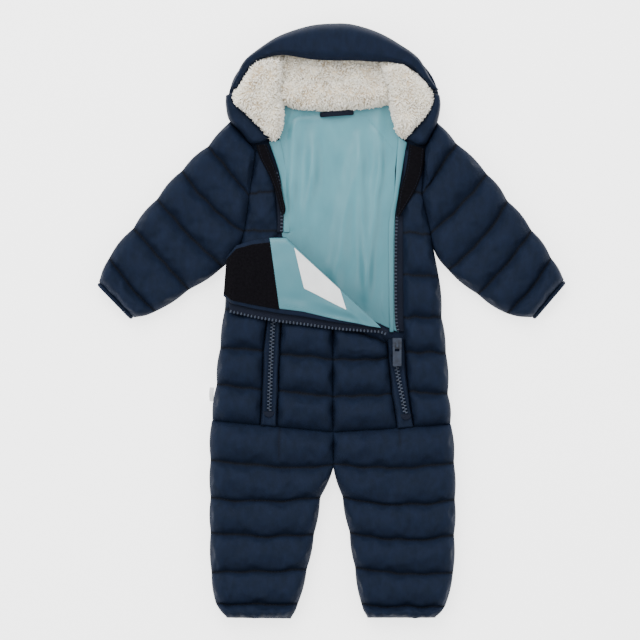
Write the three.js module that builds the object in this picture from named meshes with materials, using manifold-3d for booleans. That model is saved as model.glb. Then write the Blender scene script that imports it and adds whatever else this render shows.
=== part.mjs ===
// A baby's hooded, quilted snowsuit laid on its back, for about 3 to 6 months.
// X runs to the wearer's left, Y from the hems to the hood and Z up from the table.
// Names that end in _r and _l are the wearer's right and left.
import * as THREE from 'three';
import { mergeVertices } from 'three/addons/utils/BufferGeometryUtils.js';
import Module from 'manifold-3d';

const wasm = await Module();
wasm.setup();

// Driving sizes, in millimetres
const GAP = 0.3; // between pieces that are sewn or laid together
const BACK_WALL = 10; // padded back, resting on the table
const LINE_WALL = 7.5; // front wall where a quilt line squeezes it
const CREST_WALL = 18; // front wall in the middle of a channel
const EDGE_WALL = 3; // front wall at a side seam
const NECK_LOFT = 0.1; // how much of a channel's swell is left under the neck guards
const CLOTH = 1.5; // lining, tape and facing
const FLEECE = 2.5;
const CHAIN_WIDTH = 6; // number 5 coil zip
const CHAIN_HEIGHT = 2;
const FRONT_BASE = BACK_WALL + GAP;
const PLACKET_TOP = FRONT_BASE + 10;
const CREST_TOP = FRONT_BASE + CREST_WALL;
const FRAME_SHIFT = new THREE.Vector3(-0.61, 0.5, 0); // centres the garment on the origin

const STEPS = [0, 0.18, 0.5, 0.82]; // where a channel's height is set, from line to line

function table(columns, ...rows) {
  const names = columns.split(' ');
  return rows.map((row) => Object.fromEntries(names.map((name, i) => [name, row[i]])));
}

// Each row is one quilt line or section: its two ends, how far its middle sags towards
// the next row, and how far the outline swells between it and the next row at each end
const SECTION = 'line ax ay bx by sag swellA swellB';

const SLEEVE_R = table(SECTION,
  ['shoulder', -113, 221, -85, 189, 0, 1.5, 0],
  ['upper_arm', -137, 194, -92, 139.5, 0, 2.5, 0],
  ['armpit', -166, 167, -97.5, 100, 6, 2.5, 5],
  ['elbow', -194, 135, -122, 60, 2, 2.5, 2],
  ['forearm', -221, 102, -160, 35, 0, 2.5, 2],
  ['wrist', -248, 69, -198, 10, 2, 1.5, 1.5],
  ['cuff', -259, 43, -221, 4, 0, 0, 0]);

const SLEEVE_L = table(SECTION,
  ['shoulder', 119, 220, 105.5, 191, 0, 1.5, 0],
  ['upper_arm', 140, 197, 102.5, 142, 0, 2.5, 0],
  ['armpit', 174, 163, 112.5, 98, 3, 2.5, 5],
  ['elbow', 197, 133, 132, 57, 6, 2.5, 2],
  ['forearm', 224, 100, 165, 30, 3, 2.5, 2],
  ['wrist', 246, 69, 198, 8, 3, 1.5, 1.5],
  ['cuff', 260, 45, 225, 4, 0, 0, 0]);

const SIDE_R = table(SECTION,
  ['neck', -84, 188, -73, 188, 0, 0, 0],
  ['chest', -91, 142, -64, 144, 0, 0, 0],
  ['armpit', -96.5, 100, -61, 100, 0, 0, 0],
  ['ribs', -112, 57, -66, 54, 0, 1.5, 0],
  ['waist', -118, 12, -71, 10, 0, 1.5, 0],
  ['pocket', -123, -31, -76, -34, 0, 2, 0],
  ['hip', -127, -72, -77.5, -78, 0, 2, 0],
  ['seat', -132, -112.7, -79.5, -117.5, 0, 0, 0]);

const SIDE_L = table(SECTION,
  ['neck', 84, 190, 104, 190, 0, 0, 0],
  ['chest', 81.5, 144, 101.5, 142, 0, 0, 0],
  ['armpit', 81.5, 98, 111, 96, 0, 0, 0],
  ['ribs', 81.5, 51, 120, 49, 0, 0, 1.5],
  ['waist', 82, 3, 123, 3, 0, 0, 1.5],
  ['pocket', 83, -36, 128, -37, 0, 0, 2],
  ['hip', 87, -80, 130, -83, 0, 0, 2],
  ['seat', 93.4, -119.8, 133, -115.8, 0, 0, 0]);

const CENTRE_R = table(SECTION,
  ['fold', -50, 86, 2, 37, 0, 0, 0],
  ['waist', -55, 3, 2, -2, 0, 0, 0],
  ['pocket', -57, -38, 2, -44, 0, 0, 0],
  ['hip', -58.7, -79, 2, -86, 0, 0, 0],
  ['seat', -60.5, -119.6, 2.2, -125.3, 0, 0, 0]);

const CENTRE_L = table(SECTION,
  ['fold', 2.4, 36.6, 55, -13, 0, 0, 0],
  ['waist', 2.4, -2, 62, -26, 0, 0, 0],
  ['pocket', 2.4, -44, 64, -42, 0, 0, 0],
  ['hip', 2.4, -86, 68, -83, 0, 0, 0],
  ['seat', 2.6, -125.4, 74, -121.2, 0, 0, 0]);

const LEG_R = table(SECTION,
  ['seat', -132.6, -113.2, 2.4, -126, 0, 2, 0],
  ['crotch', -134, -157, 1, -162, 4, 1.5, 1.5],
  ['thigh', -134, -199, -13, -199, 3, 1.5, 1.5],
  ['knee', -134, -238, -20, -240, 3, 1.5, 1.5],
  ['calf', -133, -283, -28, -279, 1, 1.5, 1.5],
  ['ankle', -128, -318, -38, -318, 0, 1, 1],
  ['hem', -116, -333, -46, -334, 0, 0, 0]);

const LEG_L = table(SECTION,
  ['seat', 2.9, -126.4, 133.6, -117.2, 0, 0, 2],
  ['crotch', 4.4, -161, 137, -160, 5, 1.5, 1.5],
  ['thigh', 14, -198, 138, -201, 7, 1.5, 1.5],
  ['knee', 22, -238, 137, -241, 6, 1.5, 1.5],
  ['calf', 28, -277, 136, -283, 4, 1.5, 1.5],
  ['ankle', 35, -318, 127, -321, 2, 1, 1],
  ['hem', 42, -333, 116, -333, 0, 0, 0]);

const BACK_BODY = table(SECTION,
  ['neck', -112, 221, 118, 220.5, 0, 0, 0],
  ['raglan', -84, 188.5, 104.8, 190.5, 0, 0, 0],
  ['chest', -91, 140, 101.6, 142, 0, 0, 0],
  ['armpit', -96.5, 100, 111, 97, 0, 0, 0],
  ['ribs', -112, 57, 120, 49, 0, 1.5, 1.5],
  ['waist', -118, 12, 123, 3, 0, 1.5, 1.5],
  ['pocket', -123, -31, 128, -37, 0, 2, 2],
  ['hip', -127, -72, 130, -83, 0, 2, 2],
  ['seat', -132, -117, 133, -117, 0, 0, 0]);

const BACK_SEAT = { line: 'seat', ay: -117.4, by: -117.4 };
const BACK_LEG_R = LEG_R.map((row, i) => (i ? row : { ...row, ...BACK_SEAT }));
const BACK_LEG_L = LEG_L.map((row, i) => (i ? row : { ...row, ...BACK_SEAT }));

const HOOD_BACK = table(SECTION,
  ['crown', -30, 326, 34, 326, 0, 6, 6],
  ['brow', -72, 308, 76, 308, 0, 3, 3],
  ['temple', -100, 284, 105, 284, 0, 2, 2],
  ['cheek', -113, 258, 119, 258, 0, 1, 1],
  ['collar', -115, 240, 121, 240, 0, 0, 0],
  ['neck', -112, 221.5, 118, 221.2, 0, 0, 0]);

// The brim's stations run round the face, outer edge first
const BRIM = table('ax ay bx by rise',
  [-113, 261, -104, 258, 20],
  [-106, 275, -97, 271, 26],
  [-97, 291, -85, 286, 32],
  [-80, 305, -70, 293, 36],
  [-62, 317, -52, 296, 38],
  [-43, 325, -31, 291, 40],
  [-21, 331, -18, 287, 42],
  [1, 333, 2, 289, 42],
  [24, 332, 25, 290, 42],
  [53, 323, 46, 285, 40],
  [78, 309, 66, 287, 38],
  [99, 293, 86, 282, 34],
  [112, 270, 101, 270, 28],
  [121, 258, 111, 258, 22]);

const SIDE_ROLLS = {
  r: table('ax ay bx by rise',
    [-66, 293, -58, 291, 24],
    [-86, 284, -57.5, 284, 34],
    [-95, 270, -57.5, 272, 38],
    [-102.5, 257, -57.5, 258, 38],
    [-107, 246, -57.5, 246, 36],
    [-95, 235, -57, 234, 33],
    [-83, 224, -57.5, 222, 29],
    [-74, 214, -60, 212, 24],
    [-66, 205.5, -62.5, 205, 16]),
  l: table('ax ay bx by rise',
    [59, 286, 68, 286, 24],
    [61, 279, 86, 279, 34],
    [65, 268, 99, 268, 38],
    [67, 258, 108, 257, 38],
    [68, 247, 111, 247, 36],
    [71, 236, 107, 235, 33],
    [73, 225, 98, 224, 29],
    [75.5, 215, 89, 215, 24],
    [80, 207.5, 83, 207.5, 16]),
};

const COLLARS = {
  r: table('ax ay bx by rise',
    [-118, 252, -108.4, 256, 16],
    [-118, 240, -107.8, 244, 20],
    [-114, 223.5, -95, 233, 20],
    [-99.5, 208.5, -82, 220, 19],
    [-91, 198, -73, 211, 17],
    [-79, 198, -67.6, 205, 14]),
  l: table('ax ay bx by rise',
    [113.4, 256, 122, 252, 16],
    [113, 243, 123, 240, 20],
    [100, 223, 117, 222.5, 20],
    [92, 214, 112, 206, 19],
    [86, 208, 106.6, 197.5, 18],
    [85, 203, 98, 195.5, 14]),
};

const GUARDS = {
  r: table('ax ay bx by',
    [-84, 196, -72, 197],
    [-80, 182, -66, 181],
    [-70, 163, -59, 160],
    [-62, 142, -54, 140],
    [-58, 126, -50.5, 125],
    [-55, 118, -52, 118]),
  l: table('ax ay bx by',
    [87.5, 197, 105, 192],
    [84, 171, 103, 169],
    [80, 155, 99, 155],
    [76, 142, 93, 142],
    [74.5, 128, 85, 129],
    [73, 116, 76, 114]),
};

// The open zip edges run beside the side panels, tape and teeth together
const ZIP_EDGES = {
  r: table('ax ay bx by',
    [-68, 168, -60, 166],
    [-62.5, 142, -54.5, 142],
    [-60, 118, -53.5, 118],
    [-60.5, 98, -54, 98]),
  l: table('ax ay bx by',
    [73, 117, 81, 117],
    [71.5, 98, 81, 98],
    [71, 51, 81, 51],
    [71.5, 3, 81.5, 3],
    [74, -13, 82, -13]),
};

const FACINGS = {
  r: table('ax ay bx by',
    [-70, 200, -57, 202],
    [-59, 168, -50, 168],
    [-54, 140, -46.5, 140],
    [-53, 118, -45.5, 118],
    [-53.5, 98, -46, 98]),
  l: table('ax ay bx by',
    [75.5, 206, 85.5, 199],
    [73.5, 180, 82, 180],
    [71, 142, 76, 142],
    [66, 117, 72, 117],
    [64.5, 90, 70.6, 90],
    [64.5, 3, 70.6, 3]),
};

const PLACKETS = {
  r: table('ax ay bx by',
    [-61.8, 78, -51.2, 78],
    [-65.4, 54, -52.9, 52],
    [-70.5, 10, -55.6, 5],
    [-75.5, -34, -57.6, -38],
    [-77.2, -78, -59, -79],
    [-79.2, -117.3, -60.8, -119.2]),
  l: table('ax ay bx by',
    [62.8, -21, 82, -21],
    [64.4, -42, 82.8, -36],
    [68.4, -83, 86.7, -80],
    [74.4, -121, 93, -119.5]),
};

const CHAINS = {
  r: table('x y', [-57.5, 72], [-60, 40], [-65.5, -11], [-67.8, -60], [-69.2, -101]),
  l: table('x y', [73.2, -38], [73.4, -53], [77.5, -75], [83.5, -104]),
};

// The flap's stations run from its neck edge to the fold's end
const FLAP = table('ax ay bx by rise',
  [-117.5, 70, -121, 27, 6],
  [-106, 84, -112, 18, 7.5],
  [-88, 90, -86, 12, 8],
  [-69, 93, -57, 6.5, 8],
  [-68.4, 93, -56.4, 6.5, 8],
  [-50, 93, -30, 3, 8],
  [-28, 72, -8, -1, 8],
  [-6, 51, 10, -4, 7.5],
  [16, 30, 28, -6, 7],
  [38, 9, 43, -8, 6],
  [54, -6.5, 56, -9, 4]);
const FLAP_BASE = CREST_TOP + GAP;
const FLAP_DROOP_X = -107; // beyond this the flap hangs over the side seam
const FLAP_DROOP = 7;

// Shape builders
function closed(points, faces) {
  const geometry = new THREE.BufferGeometry();
  const corner = (i) => new THREE.Vector3(...points[i]);
  const volume = faces.reduce((sum, [i, j, k]) => (
    sum + corner(i).dot(corner(j).cross(corner(k)))), 0);
  const outward = volume < 0 ? faces.map(([i, j, k]) => [i, k, j]) : faces;
  geometry.setAttribute('position', new THREE.Float32BufferAttribute(points.flat(), 3));
  geometry.setIndex(outward.flat());
  return geometry;
}

function mix(from, to, share) {
  return from + (to - from) * share;
}

function endPoint(row, next, end, share) {
  const [x, y] = [row[`${end}x`], row[`${end}y`]];
  const [nextX, nextY] = [next[`${end}x`], next[`${end}y`]];
  const other = end === 'a' ? 'b' : 'a';
  const along = new THREE.Vector2(nextX - x, nextY - y).normalize();
  const out = new THREE.Vector2(along.y, -along.x);
  const away = new THREE.Vector2(x - row[`${other}x`], y - row[`${other}y`]);
  if (out.dot(away) < 0) out.negate();
  const swell = (row[end === 'a' ? 'swellA' : 'swellB'] ?? 0) * Math.sin(Math.PI * share);
  return [mix(x, nextX, share) + out.x * swell, mix(y, nextY, share) + out.y * swell];
}

// Lines across a piece: one at each row and, between rows, one at each step
function crossLines(rows, steps) {
  return rows.flatMap((row, i) => {
    const next = rows[i + 1];
    return (next ? steps : [0]).map((share) => {
      const onward = next ?? row;
      const from = next ? row : rows[i - 1];
      const mid = (r) => new THREE.Vector2((r.ax + r.bx) / 2, (r.ay + r.by) / 2);
      return {
        row,
        onward,
        share,
        channel: i,
        a: endPoint(row, onward, 'a', share),
        b: endPoint(row, onward, 'b', share),
        down: mid(next ? next : row).sub(mid(from)).normalize(),
        sag: mix(row.sag ?? 0, onward.sag ?? 0, share),
      };
    });
  });
}

// Column places across a piece: close together where it rounds over at its edges
function columnPlaces(round, inner) {
  const edge = [0, 0.12, 0.45, 1].map((share) => share * round);
  const middle = Array.from({ length: inner }, (_, i) => (
    mix(round, 1 - round, (i + 1) / (inner + 1))));
  return [...edge, ...middle, ...edge.map((place) => 1 - place).reverse()];
}

function edgeRise(place, round) {
  const inward = Math.min(1, Math.min(place, 1 - place) / round);
  return Math.sqrt(1 - (1 - inward) ** 2);
}

function across(line, place) {
  const bow = line.sag * 4 * place * (1 - place);
  return [
    mix(line.a[0], line.b[0], place) + line.down.x * bow,
    mix(line.a[1], line.b[1], place) + line.down.y * bow,
  ];
}

function gridFaces(first, rows, columns) {
  const faces = [];
  for (let i = 0; i < rows - 1; i += 1) {
    for (let j = 0; j < columns - 1; j += 1) {
      const p = first + i * columns + j;
      faces.push([p, p + columns, p + columns + 1], [p, p + columns + 1, p + 1]);
    }
  }
  return faces;
}

function gridRim(rows, columns) {
  const rim = [];
  for (let j = 0; j < columns; j += 1) rim.push(j);
  for (let i = 1; i < rows; i += 1) rim.push(i * columns + columns - 1);
  for (let j = columns - 2; j >= 0; j -= 1) rim.push((rows - 1) * columns + j);
  for (let i = rows - 2; i > 0; i -= 1) rim.push(i * columns);
  return rim;
}

function wallFaces(rim, upper, lower) {
  return rim.flatMap((p, n) => {
    const q = rim[(n + 1) % rim.length];
    return [[upper(p), upper(q), lower(q)], [upper(p), lower(q), lower(p)]];
  });
}

// A wall with a shaped outside over a plain flat inside
function flatBased(grid, base) {
  const rows = grid.length;
  const columns = grid[0].length;
  const top = grid.flat();
  const rim = gridRim(rows, columns);
  const place = new Map(rim.map((p, n) => [p, top.length + n]));
  const under = (i, j) => place.get(i * columns + j);
  const last = columns - 1;
  const floor = rim.map((p) => [top[p][0], top[p][1], base]);
  const faces = [...gridFaces(0, rows, columns), ...wallFaces(rim, (p) => p, (p) => place.get(p))];
  for (let j = 0; j < last; j += 1) {
    faces.push([under(1, 0), under(0, j), under(0, j + 1)]);
    faces.push([under(rows - 2, 0), under(rows - 1, j + 1), under(rows - 1, j)]);
  }
  faces.push([under(1, 0), under(0, last), under(1, last)]);
  faces.push([under(rows - 2, 0), under(rows - 2, last), under(rows - 1, last)]);
  for (let i = 1; i < rows - 2; i += 1) {
    faces.push([under(i + 1, 0), under(i, 0), under(i, last)]);
    faces.push([under(i + 1, 0), under(i, last), under(i + 1, last)]);
  }
  return closed([...top, ...floor], faces);
}

// A wall between two grids of the same size
function between(upper, lower) {
  const rows = upper.length;
  const columns = upper[0].length;
  const count = rows * columns;
  const under = gridFaces(count, rows, columns).map(([i, j, k]) => [i, k, j]);
  const walls = wallFaces(gridRim(rows, columns), (p) => p, (p) => p + count);
  return closed([...upper.flat(), ...lower.flat()], [...gridFaces(0, rows, columns), ...under, ...walls]);
}

function lifted(grid, height) {
  return grid.map((line) => line.map(([x, y, z]) => [x, y, z + height]));
}

function levelled(grid, z) {
  return grid.map((line) => line.map(([x, y]) => [x, y, z]));
}

// A thin piece that lies on part of another piece's surface, made from its points
function laidOn(grid, { lines, columns, thickness, lift = GAP }) {
  const part = grid.slice(lines[0], lines[1] + 1).map((line) => line.slice(columns[0], columns[1] + 1));
  const lower = lifted(part, lift);
  return { grid: lifted(lower, thickness), geometry: between(lifted(lower, thickness), lower) };
}

// A quilted front panel: the wadding swells between its lines and thins at its seams
function quilted(rows, { round, inner, crest = CREST_WALL, thin = [], pleats = 0 }) {
  const places = columnPlaces(round, inner);
  const grid = crossLines(rows, STEPS).map((line) => {
    const loft = thin[line.channel] ?? 1;
    const swell = Math.sin(Math.PI * line.share) ** 0.7;
    const wall = mix(LINE_WALL, mix(LINE_WALL, crest, loft), swell);
    const hem = line.channel >= rows.length - 2 && pleats;
    return places.map((place, j) => {
      const gather = hem && place > round && place < 1 - round ? (j % 2 ? pleats : -pleats) : 0;
      const height = mix(EDGE_WALL, wall + gather, edgeRise(place, round));
      return [...across(line, place), FRONT_BASE + height];
    });
  });
  return flatBased(grid, FRONT_BASE);
}

// A rounded soft mass on a flat base, its height given row by row
function mound(rows, { base, round, inner, edge = EDGE_WALL, steps = [0, 0.5] }) {
  const places = columnPlaces(round, inner);
  const grid = crossLines(rows, steps).map((line) => {
    const rise = mix(line.row.rise, line.onward.rise, line.share);
    return places.map((place) => (
      [...across(line, place), base + mix(edge, rise, edgeRise(place, round))]));
  });
  return flatBased(grid, base);
}

// A plain padded back: three rings, the lowest resting flat
const BACK_RINGS = table('z inset', [0, 4], [BACK_WALL * 0.5, 0], [BACK_WALL, 1.2]);

function plainBack(rows) {
  const lines = crossLines(rows, [0, 0.5]);
  const points = [];
  const count = lines.length;
  for (const ring of BACK_RINGS) {
    lines.forEach((line, i) => {
      const [a, b] = [new THREE.Vector2(...line.a), new THREE.Vector2(...line.b)];
      const inward = b.clone().sub(a).normalize().multiplyScalar(ring.inset);
      const endwise = i === 0 ? ring.inset : i === count - 1 ? -ring.inset : 0;
      const step = line.down.clone().multiplyScalar(endwise);
      points.push([a.x + inward.x + step.x, a.y + inward.y + step.y, ring.z]);
      points.push([b.x - inward.x + step.x, b.y - inward.y + step.y, ring.z]);
    });
  }
  const size = 2 * count;
  const rim = [];
  for (let i = 0; i < count; i += 1) rim.push(2 * i);
  for (let i = count - 1; i >= 0; i -= 1) rim.push(2 * i + 1);
  const faces = [];
  for (let level = 0; level < BACK_RINGS.length - 1; level += 1) {
    const start = level * size;
    faces.push(...wallFaces(rim, (p) => p + start + size, (p) => p + start));
  }
  const lid = 2 * size;
  for (let i = 0; i < count - 1; i += 1) {
    const [a, b, nextA, nextB] = [2 * i, 2 * i + 1, 2 * i + 2, 2 * i + 3];
    faces.push([a, nextB, b], [a, nextA, nextB]);
    faces.push([a + lid, b + lid, nextB + lid], [a + lid, nextB + lid, nextA + lid]);
  }
  return closed(points, faces);
}

// A flat strip: its rows give its two edges
function strip(rows, base, thickness) {
  const grid = rows.map((row) => [[row.ax, row.ay, base], [row.bx, row.by, base]]);
  return between(lifted(grid, thickness), grid);
}

// A strip of even width along a run of points
function ribbon(points, width, base, thickness) {
  const rows = points.map((point, i) => {
    const before = points[Math.max(0, i - 1)];
    const after = points[Math.min(points.length - 1, i + 1)];
    const side = new THREE.Vector2(before.y - after.y, after.x - before.x).setLength(width / 2);
    return { ax: point.x - side.x, ay: point.y - side.y, bx: point.x + side.x, by: point.y + side.y };
  });
  return strip(rows, base, thickness);
}

function solidOf(geometry) {
  const bare = geometry.clone();
  bare.deleteAttribute('normal');
  bare.deleteAttribute('uv');
  const merged = mergeVertices(bare);
  return new wasm.Manifold(new wasm.Mesh({
    numProp: 3,
    vertProperties: new Float32Array(merged.attributes.position.array),
    triVerts: new Uint32Array(merged.index.array),
  }));
}

function geometryOf(solid) {
  const { vertProperties, triVerts } = solid.getMesh();
  const geometry = new THREE.BufferGeometry();
  geometry.setAttribute('position', new THREE.Float32BufferAttribute(vertProperties, 3));
  geometry.setIndex([...triVerts]);
  return geometry;
}

function joined(...geometries) {
  return geometryOf(geometries.map(solidOf).reduce((sum, solid) => sum.add(solid)));
}

function box(width, length, height, x, y, z) {
  return new THREE.BoxGeometry(width, length, height).translate(x, y, z + height / 2);
}

// Materials
const FINISHES = {
  shell: { color: 0x20283c, roughness: 0.5 },
  lining: { color: 0x8fb8c0, roughness: 0.55 },
  fleece: { color: 0x0c0b0f, roughness: 0.95 },
  pile: { color: 0xece8df, roughness: 0.95 },
  tape: { color: 0x1f2b40, roughness: 0.8 },
  coil: { color: 0x35455c, roughness: 0.4 },
  puller: { color: 0x2c3b52, roughness: 0.35 },
  patch: { color: 0xeef0f0, roughness: 0.6 },
};

const garment = new THREE.Group();
garment.position.copy(FRAME_SHIFT);

function add(name, finish, geometry) {
  const material = new THREE.MeshStandardMaterial({ ...FINISHES[finish], metalness: 0 });
  const mesh = new THREE.Mesh(geometry, material);
  mesh.name = name;
  garment.add(mesh);
  return mesh;
}

// Back, resting on the table
add('back_body', 'shell', plainBack(BACK_BODY));
add('back_leg_r', 'shell', plainBack(BACK_LEG_R));
add('back_leg_l', 'shell', plainBack(BACK_LEG_L));
add('back_sleeve_r', 'shell', plainBack(SLEEVE_R));
add('back_sleeve_l', 'shell', plainBack(SLEEVE_L));
add('hood_back', 'shell', plainBack(HOOD_BACK));

// Quilted front
const LEG_FORM = { round: 0.13, inner: 13, pleats: 1.6 };
const SLEEVE_FORM = { round: 0.17, inner: 7 };
const SIDE_FORM = { round: 0.3, inner: 2, thin: [NECK_LOFT, NECK_LOFT, 0.7] };
const CENTRE_FORM = { round: 0.22, inner: 4, thin: [0.4] };
add('front_leg_r', 'shell', quilted(LEG_R, LEG_FORM));
add('front_leg_l', 'shell', quilted(LEG_L, LEG_FORM));
add('front_sleeve_r', 'shell', quilted(SLEEVE_R, SLEEVE_FORM));
add('front_sleeve_l', 'shell', quilted(SLEEVE_L, SLEEVE_FORM));
add('front_side_r', 'shell', quilted(SIDE_R, SIDE_FORM));
add('front_side_l', 'shell', quilted(SIDE_L, SIDE_FORM));
add('front_centre_r', 'shell', quilted(CENTRE_R, CENTRE_FORM));
add('front_centre_l', 'shell', quilted(CENTRE_L, CENTRE_FORM));

// Cuff bindings: flattened loops round the sleeves' ends
const BINDING_WIDTH = 5;
const CUFF_SLOT = 3; // between the cuff's two layers
const BINDING_HEIGHT = FRONT_BASE + LINE_WALL;

function cuffBinding(rows) {
  const [wrist, cuff] = rows.slice(-2);
  let [a, b] = [new THREE.Vector2(cuff.ax, cuff.ay), new THREE.Vector2(cuff.bx, cuff.by)];
  const onward = new THREE.Vector2(cuff.ax - wrist.ax + cuff.bx - wrist.bx, cuff.ay - wrist.ay + cuff.by - wrist.by);
  if (new THREE.Vector2(b.y - a.y, a.x - b.x).dot(onward) < 0) [a, b] = [b, a];
  const length = a.distanceTo(b);
  const tube = (inset, shape) => {
    const radius = BINDING_HEIGHT / 2 - inset;
    shape.absarc(radius + inset, BINDING_HEIGHT / 2, radius, Math.PI / 2, Math.PI * 1.5);
    shape.absarc(length - radius - inset, BINDING_HEIGHT / 2, radius, -Math.PI / 2, Math.PI / 2);
    return shape;
  };
  const shape = tube(0, new THREE.Shape());
  shape.holes.push(tube((BINDING_HEIGHT - CUFF_SLOT) / 2, new THREE.Path()));
  const geometry = new THREE.ExtrudeGeometry(shape, {
    depth: BINDING_WIDTH,
    bevelEnabled: false,
    curveSegments: 6,
  });
  const along = b.clone().sub(a).normalize();
  const out = new THREE.Vector3(along.y, -along.x, 0);
  const basis = new THREE.Matrix4().makeBasis(new THREE.Vector3(along.x, along.y, 0), new THREE.Vector3(0, 0, 1), out);
  basis.setPosition(a.x + out.x * GAP, a.y + out.y * GAP, 0);
  return geometry.applyMatrix4(basis);
}

add('cuff_binding_r', 'shell', cuffBinding(SLEEVE_R));
add('cuff_binding_l', 'shell', cuffBinding(SLEEVE_L));

// Hood
const BRIM_WALL = 8;
const BRIM_ROUND = 0.3;

function brim() {
  const places = columnPlaces(BRIM_ROUND, 2);
  const lines = crossLines(BRIM, [0]);
  const upper = lines.map((line) => places.map((place) => {
    const hem = mix(EDGE_WALL, 0.72 * line.row.rise, place);
    const rise = mix(hem, line.row.rise, edgeRise(place, BRIM_ROUND));
    return [...across(line, place), FRONT_BASE + rise];
  }));
  const lower = upper.map((line) => line.map(([x, y, z]) => [x, y, Math.max(FRONT_BASE, z - BRIM_WALL)]));
  return between(upper, lower);
}

add('hood_brim', 'shell', brim());
for (const side of ['r', 'l']) {
  add(`hood_pile_${side}`, 'pile', mound(SIDE_ROLLS[side], { base: FRONT_BASE, round: 0.3, inner: 2, edge: 6 }));
  add(`collar_tab_${side}`, 'shell', mound(COLLARS[side], { base: FRONT_BASE, round: 0.3, inner: 1, steps: [0] }));
}

const PILE_BACK = table('ax ay bx by rise sag',
  [-55, 283, 57, 280, 8, 0],
  [-56, 274, 58, 272, 10, -2]);
const PILE_NECK = table('ax ay bx by rise sag',
  [-56, 271, 60, 271, 9, 4],
  [-56, 260, 64, 260, 19, 3],
  [-55, 249, 65, 251, 16, 6],
  [-54, 245, 65, 247, 7, 8]);
add('hood_pile_back', 'pile', mound(PILE_BACK, { base: FRONT_BASE, round: 0.1, inner: 5, edge: 5 }));
add('hood_pile_neck', 'pile', mound(PILE_NECK, { base: FRONT_BASE, round: 0.1, inner: 6, edge: 5 }));

// Lining on the inside of the back, with its long soft folds
const LINING = table('ax ay bx by',
  [-46, 233, 55, 234],
  [-56, 210, 72, 206],
  [-56, 168, 72, 168],
  [-56, 118, 72, 118],
  [-55, 93.5, 72, 90],
  [-39.3, 77.2, 74, 40],
  [0.8, 39.4, 76, 0],
  [40.8, 1.8, 76, -14]);
const LINING_FOLDS = table('x lean width height',
  [-30, 0.03, 8, 3.2],
  [-16, -0.02, 8, 2.2],
  [16, 0.08, 9, 4.2],
  [36, 0.02, 8, 3.4],
  [51, -0.02, 6, 2.4]);
const LINING_COLUMNS = 18;

function lining() {
  const lines = crossLines(LINING, [0, 0.5]);
  const plan = lines.map((line) => Array.from({ length: LINING_COLUMNS + 1 }, (_, j) => (
    across(line, j / LINING_COLUMNS))));
  const upper = plan.map((line, i) => line.map(([x, y], j) => {
    const atEdge = i === 0 || i === plan.length - 1 || j === 0 || j === LINING_COLUMNS;
    const covered = x < -39 || x > 61;
    const folds = LINING_FOLDS.reduce((sum, fold) => {
      const off = (x - fold.x - fold.lean * (y - 100)) / fold.width;
      return sum + fold.height * Math.exp(-off * off);
    }, 0);
    return [x, y, FRONT_BASE + CLOTH + (atEdge || covered ? 0 : folds)];
  }));
  return flatBased(upper, FRONT_BASE);
}

add('lining_back', 'lining', lining());

// Zip edges, facings, plackets and guards
const ON_LINING = FRONT_BASE + CLOTH + GAP;
const GUARD_BASE = FRONT_BASE + mix(LINE_WALL, CREST_WALL, NECK_LOFT) + GAP;
for (const side of ['r', 'l']) {
  add(`facing_${side}`, 'lining', strip(FACINGS[side], ON_LINING, CLOTH));
  add(`zip_edge_${side}`, 'tape', strip(ZIP_EDGES[side], ON_LINING, CHAIN_HEIGHT));
  add(`guard_${side}`, 'fleece', strip(GUARDS[side], GUARD_BASE, FLEECE));
  add(`placket_${side}`, 'tape', strip(PLACKETS[side], FRONT_BASE, PLACKET_TOP - FRONT_BASE));
  add(`zip_chain_${side}`, 'coil', ribbon(CHAINS[side], CHAIN_WIDTH, PLACKET_TOP + GAP, CHAIN_HEIGHT));
}

// Flap: the front's upper middle, unzipped and folded over to the wearer's right
function flapGrid() {
  const places = [0, 0.06, 0.3, 0.6, 0.94, 1];
  const rises = [0.55, 0.95, 1, 1, 0.95, 0.7];
  return crossLines(FLAP, [0, 0.5]).map((line) => places.map((place, j) => {
    const [x, y] = across(line, place);
    const droop = Math.max(0, (FLAP_DROOP_X - x) / (FLAP_DROOP_X - FLAP.at(0).bx)) ** 1.5 * FLAP_DROOP;
    const rise = mix(line.row.rise, line.onward.rise, line.share) * rises[j];
    return [x, y, FLAP_BASE - droop + rise, FLAP_BASE - droop];
  }));
}

const flap = flapGrid();
const flapTop = flap.map((line) => line.map(([x, y, z]) => [x, y, z]));
const flapUnder = flap.map((line) => line.map(([x, y, , base]) => [x, y, base]));
const FLAP_SEAM = 6; // the line across the flap where the fleece ends
const LINING_START = FLAP_SEAM + 2;
const flapEnd = flapTop.length - 1;
const flapLining = laidOn(flapTop, { lines: [LINING_START, flapEnd], columns: [0, 4], thickness: CLOTH });
const flapFleece = laidOn(flapTop, { lines: [0, FLAP_SEAM], columns: [1, 4], thickness: FLEECE });
const flapPatch = laidOn(flapLining.grid, { lines: [3, 7], columns: [1, 3], thickness: 0.8 });
add('flap_shell', 'shell', between(flapTop, flapUnder));
add('flap_fleece', 'fleece', flapFleece.geometry);
add('flap_lining', 'lining', flapLining.geometry);
add('flap_patch', 'patch', flapPatch.geometry);

const FLAP_ZIP = table('ax ay bx by',
  [-114, 16.5, -114, 9],
  [-86, 11.2, -86, 2.5],
  [-57, 5.8, -57, -2.5],
  [-30, 2.2, -30, -5.8],
  [-8, -1.8, -8, -9],
  [10, -4.8, 10, -11],
  [28, -6.8, 28, -12.5],
  [43, -8.8, 43, -13.5],
  [56, -9.8, 55, -14.5],
  [64, -13, 62, -17.5]);
add('flap_zip', 'tape', strip(FLAP_ZIP, FLAP_BASE, CHAIN_HEIGHT));

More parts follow.
